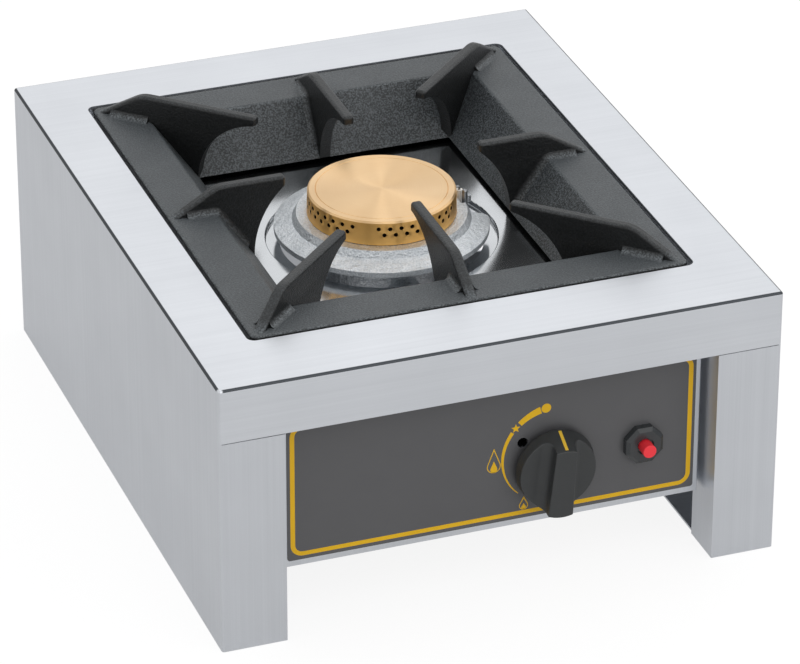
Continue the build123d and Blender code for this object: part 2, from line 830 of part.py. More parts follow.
# Brass cap: drilled crown with a spigot that centres it in the head
with BuildPart() as burner_cap:
    spigot_r = head_bore_r - seat_gap
    turned([
        (0, cap_top - cap_roof),
        (cap_top_r - cap_wall, cap_top - cap_roof),
        (spigot_r - spigot_wall, cap_bottom),
        (spigot_r - spigot_wall, cap_bottom - spigot_len),
        (spigot_r, cap_bottom - spigot_len),
        (spigot_r, cap_bottom),
        (cap_foot_r, cap_bottom),
        (cap_top_r, cap_top - cap_edge),
        (cap_top_r - cap_edge, cap_top),
        (0, cap_top),
    ])
    turned([
        (cap_groove_r - cap_groove_w / 2, cap_top),
        (cap_groove_r, cap_top - cap_groove_w / 2),
        (cap_groove_r + cap_groove_w / 2, cap_top),
    ], mode=Mode.SUBTRACT)
    drills = []
    for g in range(port_groups):
        middle = port_gap_angle + 360 / port_groups * (g + 0.5)
        rows = [(port_count, port_upper_drop), (port_count - 1, port_lower_drop)]
        for count, drop in rows:
            for i in range(count):
                a = radians(middle + port_pitch * (i - (count - 1) / 2))
                out = Vector(cos(a), sin(a), 0)
                start = Vector(0, burner_y, cap_top - drop) + out * (cap_foot_r + 2)
                drills.append(Plane(origin=start, z_dir=out))
    with Locations(*drills):
        Cylinder(port_r, cap_wall + 6, align=(Align.CENTER, Align.CENTER, Align.MAX), mode=Mode.SUBTRACT)

# Strap under the bowl flange that holds the electrode and the thermocouple
with BuildPart() as electrode_bracket:
    block(bowl_r + strap_gap, strap_reach, burner_y - strap_w / 2, burner_y + strap_w / 2,
          strap_top - strap_t, strap_top)
    upright_bar(head_screw_r + slip_fit, head_screw_circle, burner_y, strap_top - 5, strap_top + 5,
                mode=Mode.SUBTRACT)
    upright_bar(ceramic_r + slip_fit, electrode_x, burner_y + electrode_y, strap_top - 5, strap_top + 5,
                mode=Mode.SUBTRACT)
    upright_bar(couple_r + slip_fit, couple_x, burner_y + couple_y, strap_top - 5, strap_top + 5,
                mode=Mode.SUBTRACT)

with BuildPart() as electrode_screw:
    under = Plane(origin=(head_screw_circle, burner_y, strap_top - strap_t), z_dir=(0, 0, -1))
    pan_screw(under, head_screw_r, strap_t + bowl_flange_t + 0.5 * head_h)

with BuildPart() as igniter_electrode:
    low = strap_top - 0.25 * ceramic_len
    upright_bar(ceramic_r, electrode_x, burner_y + electrode_y, low, low + ceramic_len)
    upright_bar(ceramic_collar_r, electrode_x, burner_y + electrode_y, strap_top,
                strap_top + ceramic_collar_t)
    upright_bar(spark_rod_r + slip_fit, electrode_x, burner_y + electrode_y, low - 1, low + ceramic_len + 1,
                mode=Mode.SUBTRACT)

with BuildPart() as electrode_rod:
    low = strap_top - 0.25 * ceramic_len
    rod_top = low + ceramic_len + rod_bare
    pipe([
        (electrode_x, burner_y + electrode_y, low - rod_bare),
        (electrode_x, burner_y + electrode_y, rod_top),
        (spark_tip_x, burner_y + electrode_y, rod_top),
    ], [rod_bend], spark_rod_r, 0)

with BuildPart() as thermocouple:
    upright_bar(couple_r, couple_x, burner_y + couple_y, strap_top - couple_tail, strap_top + couple_sheath)
    upright_bar(couple_collar_r, couple_x, burner_y + couple_y, strap_top, strap_top + couple_collar_t)
    upright_bar(couple_tip_r, couple_x, burner_y + couple_y, strap_top + couple_sheath,
                strap_top + couple_rise)
    fillet(thermocouple.faces().sort_by(Axis.Z)[-1].edges(), 0.9 * couple_tip_r)

# Injector stirrup hooked over the mixing tube
with BuildPart() as injector_bracket:
    y0 = stirrup_front
    y1 = tube_end + stirrup_grip
    base = tube_z - stirrup_drop
    block(-stirrup_w / 2, stirrup_w / 2, y0, y1 + stirrup_t, base, base + stirrup_t)
    for y in (y0, y1):
        block(-stirrup_w / 2, stirrup_w / 2, y, y + stirrup_t, base + stirrup_t, tube_z + 0.8 * stirrup_drop)
    bar_along_y(tube_r + slip_fit, 0, tube_z, y1 - 1, y1 + stirrup_t + 1, mode=Mode.SUBTRACT)
    bar_along_y(holder_thread_r + slip_fit, 0, tube_z, y0 - 1, y0 + stirrup_t + 1, mode=Mode.SUBTRACT)

with BuildPart() as injector_holder:
    hex_along(plane_facing_front(0, stirrup_front, tube_z), holder_flats, holder_hex_len)
    bar_along_y(holder_thread_r, 0, tube_z, stirrup_front, jet_base)
    bar_along_y(feed_bore_r, 0, tube_z, holder_front - 1, jet_base + 1, mode=Mode.SUBTRACT)

with BuildPart() as injector_nut:
    hex_along(plane_facing_rear(0, holder_nut_front, tube_z), holder_flats, holder_nut_t)
    bar_along_y(holder_thread_r + slip_fit, 0, tube_z, holder_nut_front - 1, jet_base + 1,
                mode=Mode.SUBTRACT)

with BuildPart() as injector:
    hex_along(plane_facing_rear(0, jet_base, tube_z), injector_flats, injector_len / 2)
    with Locations(plane_facing_rear(0, jet_base + injector_len / 2, tube_z)):
        Cone(0.45 * injector_flats, 0.3 * injector_flats, injector_len / 2,
             align=(Align.CENTER, Align.CENTER, Align.MIN))
    bar_along_y(feed_bore_r, 0, tube_z, jet_base - 1, jet_base + 0.7 * injector_len, mode=Mode.SUBTRACT)
    bar_along_y(jet_r, 0, tube_z, jet_base, jet_tip + 1, mode=Mode.SUBTRACT)

# Gas tap: bonnet, body with spring cavity and plug chamber, plug, magnet unit
with BuildPart() as tap_bonnet:
    block(knob_x - tap_w / 2, knob_x + tap_w / 2, panel_back, panel_back + bonnet_t, knob_z - tap_tall / 2,
          knob_z + tap_tall / 2)
    fillet(tap_bonnet.edges().filter_by(Axis.Y), tap_corner_r)
    bar_along_y(spindle_r + run_fit, knob_x, knob_z, panel_back - 1, panel_back + bonnet_t + 1,
                mode=Mode.SUBTRACT)
    for s in (-1, 1):
        bar_along_y(tap_screw_r + slip_fit, knob_x, knob_z + s * tap_screw_z, panel_back - 1,
                    panel_back + bonnet_t + 1, mode=Mode.SUBTRACT)

with BuildPart() as tap_body:
    start = panel_back + bonnet_t
    block(knob_x - tap_w / 2, knob_x + tap_w / 2, start, start + tap_flange_t, knob_z - tap_tall / 2,
          knob_z + tap_tall / 2)
    fillet(tap_body.edges().filter_by(Axis.Y), tap_corner_r)
    bar_along_y(tap_r, knob_x, knob_z, start, panel_back + chamber_end)
    upright_bar(boss_r, knob_x, port_y, knob_z - inlet_reach, knob_z)
    with Locations(Plane(origin=(knob_x, port_y, knob_z), z_dir=(-1, 0, 0))):
        Cylinder(outlet_boss_r, outlet_reach, align=(Align.CENTER, Align.CENTER, Align.MIN))
    with BuildSketch(plane_facing_rear(knob_x, panel_back + lug_start, knob_z)):
        with Locations((-bypass_dx / 2, bypass_dz / 2)):
            SlotCenterToCenter(hypot(bypass_dx, bypass_dz), 2 * bypass_r,
                               rotation=degrees(atan2(bypass_dz, -bypass_dx)))
    extrude(amount=lug_t)
    bar_along_y(bypass_r, bypass_x, bypass_z, panel_back + bypass_boss, panel_back + lug_start + lug_t)
    bar_along_y(cavity_r, knob_x, knob_z, start - 1, panel_back + cavity_end, mode=Mode.SUBTRACT)
    bar_along_y(spindle_tail_r + run_fit, knob_x, knob_z, start, panel_back + chamber_start + 1,
                mode=Mode.SUBTRACT)
    with Locations(plane_facing_rear(knob_x, panel_back + chamber_start, knob_z)):
        Cone(plug_front_r + run_fit, plug_back_r + run_fit, chamber_end - chamber_start,
             align=(Align.CENTER, Align.CENTER, Align.MIN), mode=Mode.SUBTRACT)
    upright_bar(supply_bore_r, knob_x, port_y, knob_z - inlet_reach - 1, knob_z, mode=Mode.SUBTRACT)
    with Locations(Plane(origin=(knob_x, port_y, knob_z), z_dir=(-1, 0, 0))):
        Cylinder(feed_bore_r, outlet_reach + 1, align=(Align.CENTER, Align.CENTER, Align.MIN),
                 mode=Mode.SUBTRACT)
    for s in (-1, 1):
        bar_along_y(tap_screw_r + slip_fit, knob_x, knob_z + s * tap_screw_z, start - 1,
                    start + tap_flange_t + 1, mode=Mode.SUBTRACT)
    bar_along_y(bypass_shank_r + slip_fit, bypass_x, bypass_z, panel_back + bypass_boss - 1,
                panel_back + lug_start + 0.8 * lug_t, mode=Mode.SUBTRACT)

with BuildPart() as bypass_screw:
    pan_screw(plane_facing_front(bypass_x, panel_back + bypass_boss, bypass_z), bypass_shank_r,
              lug_start - bypass_boss + 0.7 * lug_t)

with BuildPart() as tap_screws:
    for s in (-1, 1):
        pan_screw(plane_facing_front(knob_x, panel_front, knob_z + s * tap_screw_z), tap_screw_r,
                  panel_t + bonnet_t + tap_flange_t)

with BuildPart() as tap_plug:
    with Locations(plane_facing_rear(knob_x, panel_back + chamber_start + seat_gap, knob_z)):
        Cone(plug_front_r + (plug_back_r - plug_front_r) * seat_gap / (chamber_end - chamber_start),
             plug_back_r - (plug_back_r - plug_front_r) * seat_gap / (chamber_end - chamber_start),
             chamber_end - chamber_start - 2 * seat_gap, align=(Align.CENTER, Align.CENTER, Align.MIN))
        Box(tang_h + 2 * slip_fit, tang_w + 2 * slip_fit, 2 * plug_slot, mode=Mode.SUBTRACT)
    bar_along_y(rod_r + slip_fit, knob_x, knob_z, panel_back + chamber_start, panel_back + chamber_end + 1,
                mode=Mode.SUBTRACT)
    with Locations(Plane(origin=(knob_x, port_y, knob_z), z_dir=(0, 0, 1))):
        Cylinder(0.8 * feed_bore_r, 2 * plug_back_r, align=(Align.CENTER, Align.CENTER, Align.MIN),
                 mode=Mode.SUBTRACT)

with BuildPart() as tap_magnet:
    start = panel_back + chamber_end
    bar_along_y(magnet_flange_r, knob_x, knob_z, start, start + magnet_flange_t)
    bar_along_y(magnet_r, knob_x, knob_z, start + magnet_flange_t, panel_back + magnet_end)
    hex_along(plane_facing_rear(knob_x, panel_back + magnet_end, knob_z), 1.5 * magnet_r, magnet_nut)
    bar_along_y(rod_r + slip_fit, knob_x, knob_z, start - 1, panel_back + rod_end + push_travel + seat_gap,
                mode=Mode.SUBTRACT)

with BuildPart() as tap_push_rod:
    bar_along_y(rod_r, knob_x, knob_z, panel_back + chamber_start + tang_len + seat_gap,
                panel_back + rod_end)

with BuildPart() as tap_spindle:
    front = film_front - knob_front + knob_face_t + seat_gap
    bar_along_y(spindle_r, knob_x, knob_z, front, panel_back + bonnet_t + seat_gap)
    block(knob_x - spindle_r, knob_x + spindle_r, front - 1, film_front - knob_back,
          knob_z + 0.6 * spindle_r, knob_z + 2 * spindle_r, mode=Mode.SUBTRACT)
    stop = panel_back + bonnet_t + seat_gap
    bar_along_y(collar_r, knob_x, knob_z, stop, stop + collar_t)
    tail_end = panel_back + chamber_start - push_travel
    bar_along_y(spindle_tail_r, knob_x, knob_z, stop + collar_t, tail_end)
    block(knob_x - tang_h / 2, knob_x + tang_h / 2, tail_end, panel_back + chamber_start + tang_len,
          knob_z - tang_w / 2, knob_z + tang_w / 2)

with BuildPart() as tap_spring:
    stop = panel_back + bonnet_t + seat_gap + collar_t
    tap_spring_gap = coil(knob_x, knob_z, stop + seat_gap, panel_back + cavity_end - seat_gap, tap_coil_r,
                          tap_wire_r, tap_coil_turns)

# Knob: slanting cone cut by two scoops into a tapering grip bar, hollow behind
knob_right = Vector(cos(radians(knob_lean)), 0, -sin(radians(knob_lean)))
knob_up = Vector(sin(radians(knob_lean)), 0, cos(radians(knob_lean)))
knob_far = 2 * knob_base_r
bar_tilt = atan2((knob_bar_foot - knob_bar_top) / 2, 2 * knob_base_r)


def knob_plane(h):
    """Workplane across the knob at a height in front of the film, turned with its pointer."""
    return Plane(origin=(knob_x, film_front - h, knob_z), x_dir=knob_right, z_dir=(0, -1, 0))


def knob_nose(h):
    """Distance from the axis to the knob's nose, where the pointer lies, at a height."""
    share = (h - knob_back) / (knob_front - knob_back)
    return knob_base_r + share * (knob_face_r - knob_drop - knob_base_r)


def scoop_plane(s):
    """Workplane across one scoop: local x out from the bar's wall, local y toward the front."""
    out = knob_right * (s * cos(bar_tilt)) + knob_up * sin(bar_tilt)
    wall = knob_right * (s * (knob_bar_top + knob_bar_foot) / 4)
    return Plane(origin=Vector(knob_x, film_front, knob_z) + wall, x_dir=out, z_dir=out.cross(Vector(0, -1, 0)))


def pointer_outline(cover):
    """Strip along the nose, from the floor of its slot out to a cover above the surface."""
    h0 = knob_back + pointer_start
    h1 = knob_front - pointer_end
    return [(h0, knob_nose(h0) - pointer_t), (h1, knob_nose(h1) - pointer_t), (h1, knob_nose(h1) + cover),
            (h0, knob_nose(h0) + cover)]


with BuildPart() as control_knob:
    with BuildSketch(knob_plane(knob_back)):
        Circle(knob_base_r)
    with BuildSketch(knob_plane(knob_front)):
        with Locations((0, -knob_drop)):
            Circle(knob_face_r)
    loft()
    for s in (-1, 1):
        with BuildSketch(scoop_plane(s)):
            with BuildLine():
                CenterArc((knob_foot_r, knob_floor + knob_foot_r), knob_foot_r, 180, 90)
                Polyline((knob_foot_r, knob_floor), (knob_far, knob_floor), (knob_far, 2 * knob_front),
                         (0, 2 * knob_front), (0, knob_floor + knob_foot_r))
            make_face()
        extrude(amount=knob_far, both=True, mode=Mode.SUBTRACT)
    fillet(control_knob.edges(), knob_edge_r)
    with Locations(plane_facing_front(knob_x, film_front - knob_back, knob_z)):
        Cylinder(knob_recess_r, knob_recess, align=(Align.CENTER, Align.CENTER, Align.MIN),
                 mode=Mode.SUBTRACT)
        Cylinder(knob_boss_r, knob_recess, align=(Align.CENTER, Align.CENTER, Align.MIN))
        with BuildSketch(plane_facing_front(knob_x, film_front - knob_back, knob_z)):
            Circle(spindle_r + slip_fit)
            with Locations((0, 0.6 * spindle_r + slip_fit)):
                Rectangle(4 * spindle_r, 4 * spindle_r, align=(Align.CENTER, Align.MIN), mode=Mode.SUBTRACT)
    extrude(amount=knob_front - knob_back - knob_face_t, mode=Mode.SUBTRACT)
    slot = Plane(origin=(knob_x, film_front, knob_z), x_dir=(0, -1, 0), z_dir=knob_right * -1)
    with BuildSketch(slot):
        with BuildLine():
            Polyline(*pointer_outline(2), close=True)
        make_face()
    extrude(amount=pointer_w / 2, both=True, mode=Mode.SUBTRACT)

with BuildPart() as knob_pointer:
    with BuildSketch(slot):
        with BuildLine():
            Polyline(*pointer_outline(pointer_proud), close=True)
        make_face()
    extrude(amount=pointer_w / 2, both=True)

# Piezo igniter: barrel behind the panel, ring nut in front, sprung button
with BuildPart() as igniter_body:
    neck_front = film_front - igniter_neck_h
    bar_along_y(igniter_neck_r, igniter_x, igniter_z, neck_front, panel_back)
    bar_along_y(igniter_flange_r, igniter_x, igniter_z, panel_back, panel_back + igniter_flange_t)
    bar_along_y(igniter_r, igniter_x, igniter_z, panel_back + igniter_flange_t, panel_back + igniter_len)
    bar_along_y(button_r + run_fit, igniter_x, igniter_z, neck_front - 1, panel_back + button_stop + 1,
                mode=Mode.SUBTRACT)
    bar_along_y(igniter_cavity_r, igniter_x, igniter_z, panel_back + button_stop,
                panel_back + igniter_cavity_end, mode=Mode.SUBTRACT)
    bar_along_y(terminal_r, igniter_x, igniter_z, panel_back + igniter_len,
                panel_back + igniter_len + terminal_len)

with BuildPart() as igniter_nut:
    with BuildSketch(plane_facing_front(igniter_x, film_front, igniter_z)):
        RegularPolygon(igniter_nut_r, 8, rotation=22.5)
    extrude(amount=igniter_nut_h)
    chamfer(igniter_nut.faces().sort_by(Axis.Y)[0].edges(), 0.3 * igniter_nut_h, 0.35 * igniter_nut_h)
    bar_along_y(igniter_neck_r + slip_fit, igniter_x, igniter_z, film_front - igniter_neck_h - slip_fit,
                film_front + 1, mode=Mode.SUBTRACT)
    bar_along_y(igniter_lip_r, igniter_x, igniter_z, film_front - igniter_nut_h - 1, film_front,
                mode=Mode.SUBTRACT)

with BuildPart() as igniter_button:
    stop = panel_back + button_stop + seat_gap
    bar_along_y(button_r, igniter_x, igniter_z, film_front - button_front, stop)
    fillet(igniter_button.faces().sort_by(Axis.Y)[0].edges(), button_edge_r)
    bar_along_y(button_collar_r, igniter_x, igniter_z, stop, stop + button_collar_t)

with BuildPart() as igniter_spring:
    start = panel_back + button_stop + seat_gap + button_collar_t
    igniter_spring_gap = coil(igniter_x, igniter_z, start + seat_gap,
                              panel_back + igniter_cavity_end - seat_gap, igniter_coil_r, igniter_wire_r,
                              igniter_coil_turns)

# Pipes with their nuts, and the two leads
with BuildPart() as feed_pipe:
    rise = tube_z - knob_z
    bend = min(feed_bend, 0.45 * abs(rise))
    pipe([
        (knob_x - outlet_reach, port_y, knob_z),
        (0, port_y, knob_z),
        (0, port_y, tube_z),
        (0, holder_front, tube_z),
    ], [bend, bend], feed_r, feed_bore_r)

with BuildPart() as feed_nuts:
    hex_along(Plane(origin=(knob_x - outlet_reach, port_y, knob_z), z_dir=(-1, 0, 0)), feed_nut_flats,
              feed_nut_len)
    hex_along(plane_facing_front(0, holder_front, tube_z), feed_nut_flats, feed_nut_len)
    bar_along_y(feed_r + slip_fit, 0, tube_z, holder_front - feed_nut_len - 1, holder_front + 1,
                mode=Mode.SUBTRACT)
    with Locations(Plane(origin=(knob_x - outlet_reach + 1, port_y, knob_z), z_dir=(-1, 0, 0))):
        Cylinder(feed_r + slip_fit, feed_nut_len + 2, align=(Align.CENTER, Align.CENTER, Align.MIN),
                 mode=Mode.SUBTRACT)

with BuildPart() as supply_pipe:
    pipe([
        (inlet_x, inlet_hex_front, inlet_z),
        (inlet_x, port_y + supply_run, inlet_z),
        (knob_x, port_y, inlet_z),
        (knob_x, port_y, knob_z - inlet_reach),
    ], [supply_sweep, supply_bend], supply_r, supply_bore_r)

with BuildPart() as supply_nuts:
    hex_along(Plane(origin=(knob_x, port_y, knob_z - inlet_reach), z_dir=(0, 0, -1)), supply_nut_flats,
              supply_nut_len)
    hex_along(plane_facing_front(inlet_x, inlet_hex_front, inlet_z), supply_nut_flats, supply_nut_len)
    bar_along_y(supply_r + slip_fit, inlet_x, inlet_z, inlet_hex_front - supply_nut_len - 1,
                inlet_hex_front + 1, mode=Mode.SUBTRACT)
    upright_bar(supply_r + slip_fit, knob_x, port_y, knob_z - inlet_reach - supply_nut_len - 1,
                knob_z - inlet_reach + 1, mode=Mode.SUBTRACT)

with BuildPart() as ignition_lead:
    lead_top = strap_top - 0.25 * ceramic_len - rod_bare
    lead_start = panel_back + igniter_len + terminal_len
    lead_end = burner_y + electrode_y
    pipe([
        (igniter_x, lead_start, igniter_z),
        (igniter_x, lead_start + 0.39 * (lead_end - lead_start), igniter_z),
        (electrode_x, lead_end - 0.35 * (lead_end - lead_start), lead_top - spark_lead_drop),
        (electrode_x, lead_end, lead_top - spark_lead_drop),
        (electrode_x, lead_end, lead_top),
    ], [2.5 * spark_lead_bend, 2.5 * spark_lead_bend, spark_lead_bend], spark_lead_r, 0)

with BuildPart() as thermocouple_lead:
    low = strap_top - couple_tail
    lead_start = panel_back + magnet_end + magnet_nut
    lead_end = burner_y + couple_y
    pipe([
        (couple_x, lead_end, low),
        (couple_x, lead_end, low - couple_lead_drop),
        (couple_x, lead_end - 0.4 * (lead_end - lead_start), low - couple_lead_drop),
        (knob_x, lead_start + 0.32 * (lead_end - lead_start), knob_z),
        (knob_x, lead_start, knob_z),
    ], [couple_lead_bend, 2.5 * couple_lead_bend, 2.5 * couple_lead_bend], couple_lead_r, 0)

# Pan support: cast frame with sloping sides and eight fingers
rim_x = support_w / 2 - root_inset
rim_y = support_d / 2 - root_inset
corner_x = support_w / 2 - corner_inset
corner_y = support_d / 2 - corner_inset
corner_foot = hypot(foot_x - corner_tip_x, foot_y - corner_tip_y)
corner_crease = hypot(crease_x - corner_tip_x, crease_y - corner_tip_y)
fingers = []
strips = []
for s in (-1, 1):
    x_finger = ((s * tip_x, 0), (s * rim_x, 0), foot_x - tip_x, crease_x - tip_x)
    y_finger = ((0, s * tip_y), (0, s * rim_y), foot_y - tip_y, crease_y - tip_y)
    for place in (x_finger, y_finger):
        fingers.append(finger_blank(*place))
        strips.extend(root_strips(*place, down=True))
    for t in (-1, 1):
        place = ((s * corner_tip_x, t * corner_tip_y), (s * corner_x, t * corner_y), corner_foot,
                 corner_crease)
        fingers.append(finger_blank(*place))
        strips.extend(root_strips(*place, down=False))

with BuildPart() as pan_support:
    with BuildSketch(Plane.XY.offset(rim_top)):
        with Locations((0, window_y)):
            RectangleRounded(support_w, support_d, support_corner_r)
    extrude(amount=-rim_t)
    hopper(crease_x + skirt_t, crease_y + skirt_t)
    hopper(crease_x, crease_y, mode=Mode.SUBTRACT)
    rim_face = pan_support.faces().sort_by(Axis.Z)[-1]
    fillet(rim_face.inner_wires()[0].edges(), crease_r)
    rim_face = pan_support.faces().sort_by(Axis.Z)[-1]
    fillet(rim_face.outer_wire().edges(), rim_edge_r)
    add(fingers)
    add(strips)

print("least gap between spring turns: tap", round(tap_spring_gap, 2))
print("least gap between spring turns: igniter", round(igniter_spring_gap, 2))

nodes = {
    "body_shell": body_shell,
    "rear_panel": rear_panel,
    "rear_screws": rear_screws,
    "inlet_fitting": inlet_fitting,
    "inlet_screws": inlet_screws,
    "control_panel": control_panel,
    "panel_screws": panel_screws,
    "panel_overlay": panel_overlay,
    "drip_tray": drip_tray,
    "burner_bracket": burner_bracket,
    "burner_bowl": burner_bowl,
    "bowl_screws": bowl_screws,
    "burner_head": burner_head,
    "head_screws": head_screws,
    "burner_cap": burner_cap,
    "electrode_bracket": electrode_bracket,
    "electrode_screw": electrode_screw,
    "igniter_electrode": igniter_electrode,
    "electrode_rod": electrode_rod,
    "thermocouple": thermocouple,
    "injector_bracket": injector_bracket,
    "injector_holder": injector_holder,
    "injector_nut": injector_nut,
    "injector": injector,
    "tap_bonnet": tap_bonnet,
    "tap_body": tap_body,
    "bypass_screw": bypass_screw,
    "tap_screws": tap_screws,
    "tap_plug": tap_plug,
    "tap_magnet": tap_magnet,
    "tap_push_rod": tap_push_rod,
    "tap_spindle": tap_spindle,
    "tap_spring": tap_spring,
    "control_knob": control_knob,
    "knob_pointer": knob_pointer,
    "igniter_body": igniter_body,
    "igniter_nut": igniter_nut,
    "igniter_button": igniter_button,
    "igniter_spring": igniter_spring,
    "feed_pipe": feed_pipe,
    "feed_nuts": feed_nuts,
    "supply_pipe": supply_pipe,
    "supply_nuts": supply_nuts,
    "ignition_lead": ignition_lead,
    "thermocouple_lead": thermocouple_lead,
    "pan_support": pan_support,
}

# The origin lies on the table below the middle of the overall length
os.makedirs("parts", exist_ok=True)
for name, piece in nodes.items():
    piece.part.position -= Vector(0, middle_y, 0)
    piece.part.label = name
    export_step(piece.part, "parts/" + name + ".step")
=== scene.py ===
import json
from math import acos, cos, pi, radians, sin

import bpy
from mathutils import Euler, Matrix, Vector


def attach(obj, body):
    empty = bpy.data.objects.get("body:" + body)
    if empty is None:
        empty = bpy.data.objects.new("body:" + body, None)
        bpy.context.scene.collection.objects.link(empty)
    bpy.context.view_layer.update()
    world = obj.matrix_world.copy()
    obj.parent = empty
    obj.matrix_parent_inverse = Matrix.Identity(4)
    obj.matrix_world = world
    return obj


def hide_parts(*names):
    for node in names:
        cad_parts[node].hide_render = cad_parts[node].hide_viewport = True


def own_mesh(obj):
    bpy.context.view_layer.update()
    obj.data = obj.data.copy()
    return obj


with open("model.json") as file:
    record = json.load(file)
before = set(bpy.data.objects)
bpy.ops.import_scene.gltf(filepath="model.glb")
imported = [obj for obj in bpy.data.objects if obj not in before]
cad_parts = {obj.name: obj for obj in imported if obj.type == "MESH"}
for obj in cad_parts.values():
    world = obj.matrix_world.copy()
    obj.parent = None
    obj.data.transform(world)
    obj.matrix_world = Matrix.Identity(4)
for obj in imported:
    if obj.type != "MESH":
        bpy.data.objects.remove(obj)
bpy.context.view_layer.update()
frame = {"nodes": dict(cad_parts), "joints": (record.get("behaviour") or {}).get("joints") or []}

MM = 0.001


def node_box(name):
    """Lowest and highest corner of a CAD node at rest, in millimetres."""
    node = frame["nodes"][name]
    points = [node.matrix_world @ vertex.co / MM for vertex in node.data.vertices]
    low = Vector([min(point[i] for point in points) for i in range(3)])
    high = Vector([max(point[i] for point in points) for i in range(3)])
    return low, high


# Places on the stove in millimetres, worked out from the frame
BODY_LOW, BODY_HIGH = node_box("body_shell")
CAP_LOW, CAP_HIGH = node_box("burner_cap")
FILM_LOW, FILM_HIGH = node_box("panel_overlay")
BURNER_Y = (CAP_LOW.y + CAP_HIGH.y) / 2
KNOB_TURN = next(joint for joint in frame["joints"] if joint["name"] == "knob_turn")
KNOB_AXIS = Vector(KNOB_TURN["pos_m"]) / MM

# Heights and a depth in millimetres where one finish or painted shade gives way to another
LEG_TOP = BODY_HIGH.z - 40.3
# Top of the painted shade in the burner cap's ports
PORT_SHADE_TOP = CAP_HIGH.z - 3.5
RUB_START = BODY_HIGH.z + 1.5
RUB_FULL = BODY_HIGH.z + 6.0
THREAD_START = BODY_HIGH.y + 0.5

# Printed dial, whose middle lies a little above the knob's axis: millimetres, and degrees from its top
# toward the left
DIAL_X = KNOB_AXIS.x
DIAL_Z = KNOB_AXIS.z + 7.3
DIAL_R = 36.3
DOT_ANGLE = 8.2
DOT_R = 3.5
STAR_ANGLE = 48.1
STAR_R = 3.5
STAR_NOTCH_R = 1.5
# First angle, sweep, steps, first width and last width of each arc
THICK_ARC = (14.4, 27.2, 12, 5.5, 4.0)
THIN_ARC = (53.9, 83.2, 40, 2.9, 0.6)
# Middle and foot of each flame, counted from the dial's middle, then its height and width
LARGE_FLAME = (-42.5, -7.3, 19.0, 10.0)
SMALL_FLAME = (-20.5, -40.3, 10.5, 6.6)
FLAME_LINE = 0.6
FLAME_TIP_LINE = 1.9
FLAME_CORE_SHARE = 0.48
# How far the frame line's edges lie inside the film at its sides, foot and top, and their corner radius
LINE_OUTSIDE = (2.2, 2.8, 5.8, 9.0)
LINE_INSIDE = (5.5, 6.0, 9.2, 5.6)
INK_LIFT = 0.05


def srgb(code):
    """Linear colour from an sRGB hex value."""
    parts = [int(code[i:i + 2], 16) / 255 for i in (1, 3, 5)]
    return [c / 12.92 if c <= 0.04045 else ((c + 0.055) / 1.055) ** 2.4 for c in parts] + [1.0]


def cells(size):
    """Noise scale whose cells are this many millimetres wide."""
    return 1 / (size * MM)


def put(tree, kind, inputs=None, **settings):
    """Adds one node with its settings, and gives its inputs their values or links."""
    node = tree.nodes.new(kind)
    for key, value in settings.items():
        setattr(node, key, value)
    for key, value in (inputs or {}).items():
        if isinstance(value, bpy.types.NodeSocket):
            tree.links.new(value, node.inputs[key])
        else:
            node.inputs[key].default_value = value
    return node


def surface(name, **constants):
    """New material; returns it with its tree, its shader and the piece's own coordinates in metres."""
    material = bpy.data.materials.new(name)
    material.use_nodes = True
    tree = material.node_tree
    tree.nodes.clear()
    values = {key.replace("_", " ").title().replace("Ior", "IOR"): v for key, v in constants.items()}
    shader = put(tree, "ShaderNodeBsdfPrincipled", values)
    put(tree, "ShaderNodeOutputMaterial", {"Surface": shader.outputs["BSDF"]})
    place = put(tree, "ShaderNodeTexCoord").outputs["Object"]
    return material, tree, shader, place


